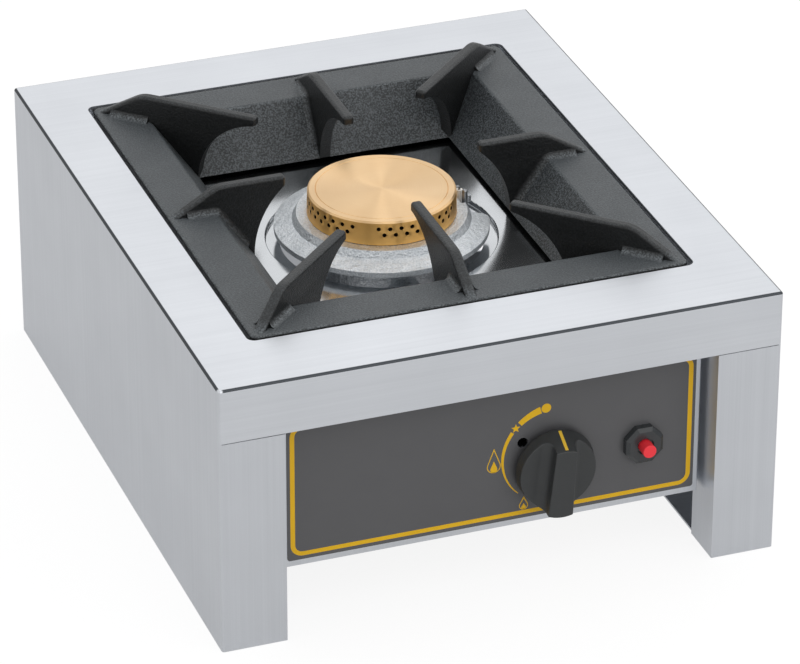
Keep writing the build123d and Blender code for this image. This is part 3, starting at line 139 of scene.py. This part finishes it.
def brushed_stainless():
    """Austenitic sheet with a belt-ground finish: the ground lines draw lights out into soft bands across
    them, and handling leaves faint clouds. The lines run along the top and apron, and up the sides and
    legs."""
    material, tree, shader, place = surface("brushed_stainless_sheet", metallic=1.0, anisotropic=0.55)
    normal = put(tree, "ShaderNodeTexCoord").outputs["Normal"]
    size = put(tree, "ShaderNodeVectorMath", {0: normal}, operation="ABSOLUTE").outputs[0]
    facing = put(tree, "ShaderNodeSeparateXYZ", {0: size}).outputs
    height = put(tree, "ShaderNodeSeparateXYZ", {0: place}).outputs["Z"]
    on_side = put(tree, "ShaderNodeMath", {0: facing["X"], 1: 0.6}, operation="GREATER_THAN").outputs[0]
    on_front = put(tree, "ShaderNodeMath", {0: facing["Y"], 1: 0.6}, operation="GREATER_THAN").outputs[0]
    below = put(tree, "ShaderNodeMath", {0: height, 1: LEG_TOP * MM}, operation="LESS_THAN").outputs[0]
    on_leg = put(tree, "ShaderNodeMath", {0: on_front, 1: below}, operation="MULTIPLY").outputs[0]
    upright = put(tree, "ShaderNodeMath", {0: on_side, 1: on_leg}, operation="MAXIMUM").outputs[0]

    # Ground lines are about 0.1 mm wide; drawn 1 mm wide and 143 mm long so that they show
    fine = cells(1)
    long = cells(143)
    along = put(tree, "ShaderNodeVectorMath", {0: place, 1: (long, fine, fine)},
                operation="MULTIPLY").outputs[0]
    upward = put(tree, "ShaderNodeVectorMath", {0: place, 1: (fine, fine, long)},
                 operation="MULTIPLY").outputs[0]
    run = put(tree, "ShaderNodeMix", {0: upright, 4: along, 5: upward}, data_type="VECTOR").outputs[1]
    lines = put(tree, "ShaderNodeTexNoise", {"Vector": run, "Scale": 1.0, "Detail": 3.0}).outputs["Fac"]
    # Wider bands, where the belt bore harder: about four and a half lines each
    wide = put(tree, "ShaderNodeTexNoise", {"Vector": run, "Scale": 0.22, "Detail": 2.0}).outputs["Fac"]
    clouds = put(tree, "ShaderNodeTexNoise",
                 {"Vector": place, "Scale": cells(62.5), "Detail": 2.0}).outputs["Fac"]
    streak = put(tree, "ShaderNodeMix", {0: 0.45, 2: lines, 3: wide}, data_type="FLOAT").outputs[0]
    shade = put(tree, "ShaderNodeMix", {0: 0.4, 2: streak, 3: clouds}, data_type="FLOAT").outputs[0]
    fade = put(tree, "ShaderNodeMapRange",
               {"Value": shade, "From Min": 0.25, "From Max": 0.75}).outputs[0]
    ground = put(tree, "ShaderNodeMix", {0: fade, 6: srgb("#D3D6DB"), 7: srgb("#E0E3E8")},
                 data_type="RGBA").outputs[2]

    # Painted shade: the folds round the top are coloured dark grey, standing in for the dark line the bends
    # reflect
    tilt = put(tree, "ShaderNodeMath", {0: facing["Z"], 1: 0.59}, operation="SUBTRACT").outputs[0]
    off = put(tree, "ShaderNodeMath", {0: tilt}, operation="ABSOLUTE").outputs[0]
    painted_fold_shade = put(tree, "ShaderNodeMapRange", {"Value": off, "From Min": 0.38, "From Max": 0.405,
                                            "To Min": 1.0, "To Max": 0.0}).outputs[0]
    # Near the welded corner at the front left, ground bright, the painted fold shade is left off
    corner = Vector((BODY_LOW.x + 1, BODY_LOW.y + 1, BODY_HIGH.z - 1)) * MM
    reach = put(tree, "ShaderNodeVectorMath", {0: place, 1: corner}, operation="DISTANCE").outputs["Value"]
    away = put(tree, "ShaderNodeMapRange",
               {"Value": reach, "From Min": 2 * MM, "From Max": 3 * MM}).outputs[0]
    # Painted shade along the folds, except near the corner
    dull = put(tree, "ShaderNodeMath", {0: painted_fold_shade, 1: away}, operation="MULTIPLY").outputs[0]
    # Painted shade: the folds turn dark grey
    colour = put(tree, "ShaderNodeMix", {0: dull, 6: ground, 7: srgb("#4C4F53")},
                 data_type="RGBA").outputs[2]
    rough = put(tree, "ShaderNodeMapRange", {"Value": shade, "From Min": 0.3, "From Max": 0.7,
                                             "To Min": 0.38, "To Max": 0.34}).outputs[0]
    grain = put(tree, "ShaderNodeMix", {0: upright, 4: (1, 0, 0), 5: (0, 0, 1)},
                data_type="VECTOR").outputs[1]
    across = put(tree, "ShaderNodeVectorMath", {0: grain, 1: normal}, operation="CROSS_PRODUCT").outputs[0]
    bump = put(tree, "ShaderNodeBump",
               {"Strength": 0.12, "Distance": 0.05 * MM, "Height": lines}).outputs[0]
    tree.links.new(colour, shader.inputs["Base Color"])
    tree.links.new(rough, shader.inputs["Roughness"])
    tree.links.new(across, shader.inputs["Tangent"])
    tree.links.new(bump, shader.inputs["Normal"])
    return material


def polished_stainless():
    """Deep-drawn sheet, buffed: near mirror with a slight haze and faint wiping marks."""
    material, tree, shader, place = surface("polished_drawn_stainless", metallic=1.0)
    haze = put(tree, "ShaderNodeTexNoise",
               {"Vector": place, "Scale": cells(40), "Detail": 4.0}).outputs["Fac"]
    colour = put(tree, "ShaderNodeMix", {0: haze, 6: srgb("#B6B9BC"), 7: srgb("#CFD2D5")},
                 data_type="RGBA").outputs[2]
    rough = put(tree, "ShaderNodeMapRange", {"Value": haze, "To Min": 0.11, "To Max": 0.2}).outputs[0]
    tree.links.new(colour, shader.inputs["Base Color"])
    tree.links.new(rough, shader.inputs["Roughness"])
    return material


def cast_iron():
    """Sand-cast iron under a thin matt enamel: almost black, with a sandy grain that catches the light. What
    faces up is painted greyer than the flanks, as painted light from above."""
    material, tree, shader, place = surface("sand_cast_iron_matt_enamel", metallic=0.0, ior=1.45)
    normal = put(tree, "ShaderNodeTexCoord").outputs["Normal"]
    rise = put(tree, "ShaderNodeSeparateXYZ", {0: normal}).outputs["Z"]
    # Sand grain of about 0.8 mm, drawn at 1.2 mm so that it shows
    sand = put(tree, "ShaderNodeTexNoise",
               {"Vector": place, "Scale": cells(1.2), "Detail": 3.0}).outputs["Fac"]
    patch = put(tree, "ShaderNodeTexNoise",
                {"Vector": place, "Scale": cells(22.2), "Detail": 3.0}).outputs["Fac"]
    fleck = put(tree, "ShaderNodeMapRange",
                {"Value": sand, "From Min": 0.42, "From Max": 0.62}).outputs[0]
    mottled = put(tree, "ShaderNodeMix", {0: 0.25, 2: fleck, 3: patch}, data_type="FLOAT").outputs[0]
    # Wiping wears the flat rim smooth
    wiped = put(tree, "ShaderNodeMapRange", {"Value": rise, "From Min": 0.75, "From Max": 0.95,
                                             "To Max": 0.65}).outputs[0]
    tone = put(tree, "ShaderNodeMix", {0: wiped, 2: mottled, 3: 0.36}, data_type="FLOAT").outputs[0]
    # A shaded tone for the flanks and a lighter, painted lit tone for what faces up
    flank = put(tree, "ShaderNodeMix", {0: tone, 6: srgb("#080909"), 7: srgb("#1C1E1F")},
                data_type="RGBA").outputs[2]
    painted_lit_tone = put(tree, "ShaderNodeMix", {0: tone, 6: srgb("#171A1C"), 7: srgb("#6E7478")},
                data_type="RGBA").outputs[2]
    facing_up = put(tree, "ShaderNodeMapRange",
                    {"Value": rise, "From Min": 0.2, "From Max": 0.75}).outputs[0]
    # Above the rim the fingers are rubbed smoother by pans, and most of the painted top light is left off
    # them
    height = put(tree, "ShaderNodeSeparateXYZ", {0: place}).outputs["Z"]
    rubbed = put(tree, "ShaderNodeMapRange", {"Value": height, "From Min": RUB_START * MM,
                                              "From Max": RUB_FULL * MM}).outputs[0]
    left = put(tree, "ShaderNodeMapRange", {"Value": rubbed, "To Min": 1.0, "To Max": 0.25}).outputs[0]
    # Painted light: what faces up takes the lit tone
    painted_top_light = put(tree, "ShaderNodeMath", {0: facing_up, 1: left}, operation="MULTIPLY").outputs[0]
    colour = put(tree, "ShaderNodeMix", {0: painted_top_light, 6: flank, 7: painted_lit_tone}, data_type="RGBA").outputs[2]
    sandy = put(tree, "ShaderNodeMapRange", {"Value": patch, "To Min": 0.48, "To Max": 0.34}).outputs[0]
    rough = put(tree, "ShaderNodeMix", {0: rubbed, 2: sandy, 3: 0.37}, data_type="FLOAT").outputs[0]
    relief = put(tree, "ShaderNodeMapRange", {"Value": rubbed, "To Min": 0.9, "To Max": 0.7}).outputs[0]
    bump = put(tree, "ShaderNodeBump",
               {"Strength": relief, "Distance": 0.6 * MM, "Height": sand}).outputs[0]
    tree.links.new(colour, shader.inputs["Base Color"])
    tree.links.new(rough, shader.inputs["Roughness"])
    tree.links.new(bump, shader.inputs["Normal"])
    return material


def turned_brass():
    """Brass faced on a lathe: rings round the burner's axis fan each light out into wedges from the
    centre."""
    material, tree, shader, place = surface("lathe_turned_brass", metallic=1.0, anisotropic=0.94)
    spoke = put(tree, "ShaderNodeVectorMath", {0: place, 1: (0, BURNER_Y * MM, 0)},
                operation="SUBTRACT").outputs[0]
    flat = put(tree, "ShaderNodeVectorMath", {0: spoke, 1: (1, 1, 0)}, operation="MULTIPLY").outputs[0]
    radius = put(tree, "ShaderNodeVectorMath", {0: flat}, operation="LENGTH").outputs["Value"]
    outward = put(tree, "ShaderNodeVectorMath", {0: flat}, operation="NORMALIZE").outputs[0]
    # Tool marks about 0.15 mm apart, drawn 0.8 mm apart so that they show
    reach = put(tree, "ShaderNodeMath", {0: radius, 1: cells(0.8)}, operation="MULTIPLY").outputs[0]
    rings = put(tree, "ShaderNodeTexNoise", {"W": reach, "Scale": 1.0, "Detail": 2.0},
                noise_dimensions="1D").outputs["Fac"]
    stain = put(tree, "ShaderNodeTexNoise",
                {"Vector": place, "Scale": cells(33.3), "Detail": 3.0}).outputs["Fac"]
    tone = put(tree, "ShaderNodeMix", {0: 0.6, 2: rings, 3: stain}, data_type="FLOAT").outputs[0]
    faced = put(tree, "ShaderNodeMix", {0: tone, 6: srgb("#E6BF8D"), 7: srgb("#FADDB4")},
                data_type="RGBA").outputs[2]
    wall = put(tree, "ShaderNodeMix", {0: tone, 6: srgb("#E3A653"), 7: srgb("#FFD080")},
               data_type="RGBA").outputs[2]
    normal = put(tree, "ShaderNodeTexCoord").outputs["Normal"]
    rise = put(tree, "ShaderNodeSeparateXYZ", {0: normal}).outputs["Z"]
    bare_brass = put(tree, "ShaderNodeMix", {0: rise, 6: wall, 7: faced}, data_type="RGBA").outputs[2]
    # Painted shade: the ports and the inside, what lies below the roof and doesn't face outward, are coloured
    # dark brown
    height = put(tree, "ShaderNodeSeparateXYZ", {0: place}).outputs["Z"]
    below = put(tree, "ShaderNodeMath", {0: height, 1: PORT_SHADE_TOP * MM}, operation="LESS_THAN").outputs[0]
    turn = put(tree, "ShaderNodeVectorMath", {0: normal, 1: outward},
               operation="DOT_PRODUCT").outputs["Value"]
    aside = put(tree, "ShaderNodeMath", {0: turn, 1: 0.7}, operation="LESS_THAN").outputs[0]
    painted_port_shade = put(tree, "ShaderNodeMath", {0: below, 1: aside}, operation="MULTIPLY").outputs[0]
    colour = put(tree, "ShaderNodeMix", {0: painted_port_shade, 6: bare_brass, 7: srgb("#2E2216")},
                 data_type="RGBA").outputs[2]
    rough = put(tree, "ShaderNodeMapRange", {"Value": rings, "To Min": 0.38, "To Max": 0.45}).outputs[0]
    bump = put(tree, "ShaderNodeBump",
               {"Strength": 0.1, "Distance": 0.05 * MM, "Height": rings}).outputs[0]
    tree.links.new(colour, shader.inputs["Base Color"])
    tree.links.new(rough, shader.inputs["Roughness"])
    tree.links.new(outward, shader.inputs["Tangent"])
    tree.links.new(bump, shader.inputs["Normal"])
    return material


def threaded_brass():
    """Brass bar, machined: warm and softly bright, plain on the flange and hexagon, ringed by a pipe thread
    on the rear stub."""
    material, tree, shader, place = surface("machined_brass_bar", metallic=1.0)
    depth = put(tree, "ShaderNodeSeparateXYZ", {0: place}).outputs["Y"]
    # Half-inch pipe thread: 14 turns to the inch, 1.814 mm apart
    turns = put(tree, "ShaderNodeMath", {0: depth, 1: 2 * pi * cells(1.814)}, operation="MULTIPLY").outputs[0]
    crest = put(tree, "ShaderNodeMath", {0: turns}, operation="SINE").outputs[0]
    stub = put(tree, "ShaderNodeMath", {0: depth, 1: THREAD_START * MM}, operation="GREATER_THAN").outputs[0]
    thread = put(tree, "ShaderNodeMath", {0: crest, 1: stub}, operation="MULTIPLY").outputs[0]
    stain = put(tree, "ShaderNodeTexNoise",
                {"Vector": place, "Scale": cells(16.7), "Detail": 3.0}).outputs["Fac"]
    colour = put(tree, "ShaderNodeMix", {0: stain, 6: srgb("#B98D4C"), 7: srgb("#E0BC7C")},
                 data_type="RGBA").outputs[2]
    rough = put(tree, "ShaderNodeMapRange", {"Value": stain, "To Min": 0.25, "To Max": 0.4}).outputs[0]
    bump = put(tree, "ShaderNodeBump",
               {"Strength": 1.0, "Distance": 0.5 * MM, "Height": thread}).outputs[0]
    tree.links.new(colour, shader.inputs["Base Color"])
    tree.links.new(rough, shader.inputs["Roughness"])
    tree.links.new(bump, shader.inputs["Normal"])
    return material


def cast_aluminium():
    """Sand-cast aluminium, bare: pale grey, its coarse pitted skin broken into bright and dark specks."""
    material, tree, shader, place = surface("sand_cast_aluminium", metallic=1.0)
    # Mould sand of about 0.8 mm, drawn at 1.2 mm so that it shows
    sand = put(tree, "ShaderNodeTexNoise",
               {"Vector": place, "Scale": cells(1.2), "Detail": 3.0}).outputs["Fac"]
    patch = put(tree, "ShaderNodeTexNoise",
                {"Vector": place, "Scale": cells(14.3), "Detail": 4.0}).outputs["Fac"]
    tone = put(tree, "ShaderNodeMix", {0: 0.35, 2: sand, 3: patch}, data_type="FLOAT").outputs[0]
    speck = put(tree, "ShaderNodeMapRange",
                {"Value": tone, "From Min": 0.35, "From Max": 0.65}).outputs[0]
    colour = put(tree, "ShaderNodeMix", {0: speck, 6: srgb("#C3C9CE"), 7: srgb("#E9ECEF")},
                 data_type="RGBA").outputs[2]
    rough = put(tree, "ShaderNodeMapRange", {"Value": patch, "To Min": 0.42, "To Max": 0.6}).outputs[0]
    # Lumps of about 4 mm, left by the mould's face
    lumps = put(tree, "ShaderNodeTexNoise",
                {"Vector": place, "Scale": cells(4), "Detail": 2.0}).outputs["Fac"]
    skin = put(tree, "ShaderNodeMix", {0: 0.6, 2: sand, 3: lumps}, data_type="FLOAT").outputs[0]
    bump = put(tree, "ShaderNodeBump",
               {"Strength": 1.0, "Distance": 1.6 * MM, "Height": skin}).outputs[0]
    tree.links.new(colour, shader.inputs["Base Color"])
    tree.links.new(rough, shader.inputs["Roughness"])
    tree.links.new(bump, shader.inputs["Normal"])
    return material


def plain_metal(name, dark, light, smooth, dull, patch_mm):
    """Metal whose tone and polish drift over patches of about the given size."""
    material, tree, shader, place = surface(name, metallic=1.0)
    patch = put(tree, "ShaderNodeTexNoise",
                {"Vector": place, "Scale": cells(patch_mm), "Detail": 3.0}).outputs["Fac"]
    colour = put(tree, "ShaderNodeMix", {0: patch, 6: srgb(dark), 7: srgb(light)},
                 data_type="RGBA").outputs[2]
    rough = put(tree, "ShaderNodeMapRange", {"Value": patch, "To Min": smooth, "To Max": dull}).outputs[0]
    tree.links.new(colour, shader.inputs["Base Color"])
    tree.links.new(rough, shader.inputs["Roughness"])
    return material


def moulded_plastic(name, dark, light, smooth, dull, grain_mm, relief_mm, ior):
    """Smooth non-metal, such as a plastic that copies its mould: one colour, barely uneven, with a fine
    texture in its gloss."""
    material, tree, shader, place = surface(name, metallic=0.0, ior=ior)
    skin = put(tree, "ShaderNodeTexNoise",
               {"Vector": place, "Scale": cells(grain_mm), "Detail": 2.0}).outputs["Fac"]
    patch = put(tree, "ShaderNodeTexNoise",
                {"Vector": place, "Scale": cells(16.7), "Detail": 2.0}).outputs["Fac"]
    colour = put(tree, "ShaderNodeMix", {0: patch, 6: srgb(dark), 7: srgb(light)},
                 data_type="RGBA").outputs[2]
    rough = put(tree, "ShaderNodeMapRange", {"Value": skin, "To Min": smooth, "To Max": dull}).outputs[0]
    bump = put(tree, "ShaderNodeBump",
               {"Strength": 0.3, "Distance": relief_mm * MM, "Height": skin}).outputs[0]
    tree.links.new(colour, shader.inputs["Base Color"])
    tree.links.new(rough, shader.inputs["Roughness"])
    tree.links.new(bump, shader.inputs["Normal"])
    return material


def dress_cad_nodes():
    """Gives every node its finish."""
    finishes = {
        brushed_stainless(): ["body_shell", "rear_panel", "control_panel"],
        polished_stainless(): ["drip_tray"],
        cast_iron(): ["pan_support"],
        turned_brass(): ["burner_cap"],
        threaded_brass(): ["inlet_fitting"],
        cast_aluminium(): ["burner_head", "burner_bowl"],
        # Brass bar, turned or drawn: warm and softly bright
        plain_metal("machined_brass", "#B98D4C", "#E0BC7C", 0.25, 0.4, 15): [
            "injector", "injector_holder", "injector_nut", "tap_bonnet", "tap_body", "tap_plug",
            "tap_spindle", "feed_nuts", "supply_nuts"],
        # Zinc plate: grey with a bluish bloom
        plain_metal("zinc_plated_steel", "#A2A7AC", "#C9CDD0", 0.35, 0.5, 8): [
            "burner_bracket", "injector_bracket", "electrode_bracket", "tap_magnet"],
        # Bright screws, slightly dulled
        plain_metal("bright_steel_screws", "#B4B5B7", "#DADBDC", 0.22, 0.36, 3): [
            "rear_screws", "inlet_screws", "panel_screws", "bowl_screws", "head_screws",
            "electrode_screw", "tap_screws"],
        # Oil-blackened steel: nearly black, with a dull sheen
        plain_metal("oil_blackened_steel", "#0C0C0D", "#141415", 0.5, 0.62, 3): ["bypass_screw"],
        # Drawn wire: darker, smooth along its length
        plain_metal("drawn_spring_steel", "#8C8E91", "#B5B7BA", 0.25, 0.4, 2): [
            "tap_spring", "igniter_spring", "tap_push_rod", "electrode_rod", "thermocouple"],
        # Drawn copper tube, a little tarnished
        plain_metal("drawn_copper_tube", "#A8643F", "#D9987A", 0.22, 0.42, 12): [
            "feed_pipe", "supply_pipe"],
        # Copper capillary under a coat of tin: grey, softly bright
        plain_metal("tinned_copper_capillary", "#8F9092", "#B9BABC", 0.3, 0.45, 8): [
            "thermocouple_lead"],
        # Polyester film printed on its back: even grey under a satin face
        moulded_plastic("printed_polyester_film", "#525254", "#565658", 0.34, 0.44, 0.5, 0.01, 1.57): [
            "panel_overlay"],
        # Glass-filled nylon: charcoal, satin, with a fine sparked mould skin
        moulded_plastic("moulded_charcoal_nylon", "#2C2E2F", "#333536", 0.38, 0.5, 0.6, 0.02, 1.53): [
            "control_knob"],
        # Paint wiped into the knob's slot: warm yellow, nearly matt
        moulded_plastic("yellow_filled_line", "#E0B42C", "#EBC33F", 0.45, 0.6, 0.5, 0.02, 1.5): [
            "knob_pointer"],
        # Nylon from a polished mould: black, with small clear highlights
        moulded_plastic("moulded_black_nylon", "#2D3032", "#383B3D", 0.2, 0.3, 0.6, 0.02, 1.53): [
            "igniter_body", "igniter_nut"],
        # Acetal from a polished mould: full red and glossy
        moulded_plastic("moulded_red_acetal", "#F52E39", "#FE3C47", 0.18, 0.28, 0.8, 0.01, 1.48): [
            "igniter_button"],
        # Fired alumina under glaze: off-white, as glossy as china
        moulded_plastic("glazed_alumina", "#E4E3DE", "#EFEEEA", 0.12, 0.2, 1.0, 0.01, 1.6): [
            "igniter_electrode"],
        # Extruded silicone rubber: dark, soft and dull
        moulded_plastic("silicone_sleeve", "#2B2B2C", "#343435", 0.5, 0.65, 0.6, 0.02, 1.41): [
            "ignition_lead"],
    }
    for material, names in finishes.items():
        for name in names:
            mesh = frame["nodes"][name].data
            mesh.materials.clear()
            mesh.materials.append(material)


def return_springs():
    """Coils of the tap and the igniter, copied from their nodes and fixed to the stove in their place; the
    real coils shorten as the knob or the button is pressed.
    """
    for name, joint in (("tap_spring", "tap_push"), ("igniter_spring", "igniter_press")):
        node = frame["nodes"][name]
        coil = bpy.data.objects.new(name + "_coil", node.data.copy())
        coil.matrix_world = node.matrix_world
        bpy.context.collection.objects.link(coil)
        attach(coil, "stove")
        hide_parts(name)
        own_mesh(coil)


def dial_spot(angle):
    """Point on the dial's circle at an angle, counted from its top toward the left."""
    a = radians(angle)
    return DIAL_X - DIAL_R * sin(a), DIAL_Z + DIAL_R * cos(a)


def dial_arc(start, sweep, steps, first_width, last_width):
    """Quads along the dial's circle, whose width changes evenly from end to end."""
    centres = [dial_spot(start + sweep * k / steps) for k in range(steps + 1)]
    sides = []
    for k, (x, z) in enumerate(centres):
        x0, z0 = centres[max(k - 1, 0)]
        x1, z1 = centres[min(k + 1, steps)]
        width = first_width + (last_width - first_width) * k / steps
        run = Vector((x1 - x0, z1 - z0)).normalized() * width / 2
        sides.append(((x + run.y, z - run.x), (x - run.y, z + run.x)))
    return [[sides[k][0], sides[k + 1][0], sides[k + 1][1], sides[k][1]] for k in range(steps)]


def ring_between(outer, inner):
    """Quads between two closed outlines with as many points each."""
    n = len(outer)
    return [[outer[i], outer[(i + 1) % n], inner[(i + 1) % n], inner[i]] for i in range(n)]


def frame_outline(side, foot, top, r):
    """Closed outline with round corners, this far inside the film's edges, from its lower right corner."""
    half_w = FILM_HIGH.x - side
    low = FILM_LOW.z + foot
    high = FILM_HIGH.z - top
    corners = [(half_w - r, low + r, -90), (half_w - r, high - r, 0), (r - half_w, high - r, 90),
               (r - half_w, low + r, 180)]
    points = []
    for x, z, start in corners:
        for k in range(9):
            a = radians(start + 90 * k / 8)
            points.append((x + r * cos(a), z + r * sin(a)))
    return points


def flame_outline(x, low, high, width):
    """Closed outline of a flame: a round foot with straight sides up to a point."""
    r = width / 2
    centre = low + r
    lean = acos(r / (high - centre))
    points = [(x, high)]
    for k in range(17):
        a = pi / 2 + lean + (2 * pi - 2 * lean) * k / 16
        points.append((x + r * cos(a), centre + r * sin(a)))
    return points


def print_marks():
    """Frame line and dial marks on the film."""
    faces = ring_between(frame_outline(*LINE_OUTSIDE), frame_outline(*LINE_INSIDE))
    dot_x, dot_z = dial_spot(DOT_ANGLE)
    faces.append([(dot_x + DOT_R * cos(k * pi / 16), dot_z + DOT_R * sin(k * pi / 16)) for k in range(32)])
    # A thick arc from the dot to the star, and past it one that thins out toward the small flame
    faces += dial_arc(*THICK_ARC)
    star_x, star_z = dial_spot(STAR_ANGLE)
    star = []
    for k in range(10):
        r = STAR_R if k % 2 == 0 else STAR_NOTCH_R
        star.append((star_x - r * sin(k * pi / 5), star_z + r * cos(k * pi / 5)))
    faces += [[(star_x, star_z), star[k], star[(k + 1) % 10]] for k in range(10)]
    faces += dial_arc(*THIN_ARC)
    # A line round each flame, and a filled core at its foot
    for middle, foot, height, width in (LARGE_FLAME, SMALL_FLAME):
        x = DIAL_X + middle
        low = DIAL_Z + foot
        tip = low + height
        inside = flame_outline(x, low + FLAME_LINE, tip - FLAME_TIP_LINE, width - 2 * FLAME_LINE)
        faces += ring_between(flame_outline(x, low, tip, width), inside)
        faces.append(flame_outline(x, low + FLAME_LINE / 2, low + FLAME_CORE_SHARE * height, width / 2))
    # Screen printed ink: flat warm yellow, a little duller than the film
    ink = moulded_plastic("screen_printed_yellow_ink", "#E3B004", "#EDBC0C", 0.45, 0.55, 0.5, 0.01, 1.5)
    points = []
    loops = []
    for face in faces:
        loops.append(range(len(points), len(points) + len(face)))
        points += [(x * MM, (FILM_LOW.y - INK_LIFT) * MM, z * MM) for x, z in face]
    mesh = bpy.data.meshes.new("panel_print")
    mesh.from_pydata(points, [], loops)
    mesh.materials.append(ink)
    marks = bpy.data.objects.new("panel_print", mesh)
    bpy.context.collection.objects.link(marks)
    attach(marks, "stove")


def white_paper():
    """Matt paper: white to the camera with the stove's soft shadow on it, and a greyer white where the metal
    mirrors it."""
    paper = bpy.data.materials.new("matt_white_paper")
    paper.use_nodes = True
    tree = paper.node_tree
    tree.nodes.clear()
    path = put(tree, "ShaderNodeLightPath").outputs
    mirror = put(tree, "ShaderNodeMath", {0: path["Is Glossy Ray"], 1: path["Is Transmission Ray"]},
                 operation="MAXIMUM").outputs[0]
    mirrored = put(tree, "ShaderNodeMath", {0: mirror, 1: 0.44}, operation="MULTIPLY").outputs[0]
    level = put(tree, "ShaderNodeMix", {0: path["Is Camera Ray"], 2: mirrored, 3: 0.88},
                data_type="FLOAT").outputs[0]
    glow = put(tree, "ShaderNodeEmission", {"Color": srgb("#FFFFFF"), "Strength": level}).outputs[0]
    bounced = put(tree, "ShaderNodeMix",
                  {0: path["Is Glossy Ray"], 6: srgb("#C4C4C4"), 7: srgb("#8A8A8A")},
                  data_type="RGBA").outputs[2]
    tone = put(tree, "ShaderNodeMix", {0: path["Is Camera Ray"], 6: bounced, 7: srgb("#6A6A6A")},
               data_type="RGBA").outputs[2]
    matt = put(tree, "ShaderNodeBsdfDiffuse", {"Color": tone}).outputs[0]
    both = put(tree, "ShaderNodeAddShader", {0: glow, 1: matt}).outputs[0]
    put(tree, "ShaderNodeOutputMaterial", {"Surface": both})
    return paper


def pale_floor():
    """Sheet of paper under the stove, just below its flanges."""
    half = 6.0
    depth = -0.3 * MM
    corners = [(-half, -half, depth), (half, -half, depth), (half, half, depth), (-half, half, depth)]
    mesh = bpy.data.meshes.new("pale_floor")
    mesh.from_pydata(corners, [], [(0, 1, 2, 3)])
    mesh.materials.append(white_paper())
    floor = bpy.data.objects.new("pale_floor", mesh)
    bpy.context.collection.objects.link(floor)


def white_surround():
    """White to the camera; as light, brightest about 25 degrees above the horizon and darker overhead."""
    world = bpy.data.worlds.new("white_surround")
    bpy.context.scene.world = world
    world.use_nodes = True
    tree = world.node_tree
    tree.nodes.clear()
    path = put(tree, "ShaderNodeLightPath").outputs
    direction = put(tree, "ShaderNodeTexCoord").outputs["Generated"]
    up = put(tree, "ShaderNodeSeparateXYZ", {0: direction}).outputs["Z"]
    bend = put(tree, "ShaderNodeMath", {0: up, 1: -1.08, 2: 0.86}, operation="MULTIPLY_ADD").outputs[0]
    soft = put(tree, "ShaderNodeMath", {0: up, 1: bend, 2: 0.62}, operation="MULTIPLY_ADD").outputs[0]
    level = put(tree, "ShaderNodeMix", {0: path["Is Camera Ray"], 2: soft, 3: 1.0},
                data_type="FLOAT").outputs[0]
    sky = put(tree, "ShaderNodeBackground", {"Color": srgb("#FFFFFF"), "Strength": level}).outputs[0]
    put(tree, "ShaderNodeOutputWorld", {"Surface": sky})


def studio_lamps():
    """Wide soft lamps, so that the brushed top doesn't burn out, and a small one over the brass cap."""
    aim = Vector((0.0, 0.0, 0.1))
    # Name, place and width in metres, and watts
    lamps = (
        ("overhead_softbox", (0.3, 0.5, 2.7), 3.8, 18.0),
        ("overhead_lamp", (0.0, 0.1, 2.4), 0.4, 1.85),
        ("back_softbox", (1.1, 3.0, 2.0), 1.4, 2.4),
        ("left_fill", (-2.4, -0.2, 1.7), 2.4, 6.0),
        ("front_fill", (0.8, -3.1, 2.1), 4.4, 40.0),
        ("right_rim", (2.6, 0.6, 1.7), 3.2, 13.0),
    )
    for name, spot, width, watts in lamps:
        data = bpy.data.lights.new(name, "AREA")
        data.shape = "SQUARE"
        data.size = width
        data.energy = watts
        lamp = bpy.data.objects.new(name, data)
        lamp.location = spot
        lamp.rotation_euler = (aim - Vector(spot)).to_track_quat("-Z", "Y").to_euler()
        bpy.context.collection.objects.link(lamp)


def photo_camera():
    """Long lens from the front left, looking down on the stove as in the photograph."""
    azimuth = radians(-20.1432)
    elevation = radians(28.9779)
    roll = radians(0.1585)
    aim = Vector((-7.705, -60.266, 113.343)) * MM
    distance = 3.4
    lens = bpy.data.cameras.new("photo_view")
    lens.sensor_fit = "HORIZONTAL"
    lens.sensor_width = 36.0
    lens.lens = 219.24
    camera = bpy.data.objects.new("photo_view", lens)
    turn = Euler((pi / 2 - elevation, 0.0, azimuth)).to_matrix().to_4x4() @ Matrix.Rotation(roll, 4, "Z")
    camera.matrix_world = Matrix.Translation(aim) @ turn @ Matrix.Translation((0.0, 0.0, distance))
    bpy.context.collection.objects.link(camera)
    bpy.context.scene.camera = camera
    bpy.context.scene.view_settings.view_transform = "Standard"


dress_cad_nodes()
return_springs()
print_marks()
pale_floor()
white_surround()
studio_lamps()
photo_camera()
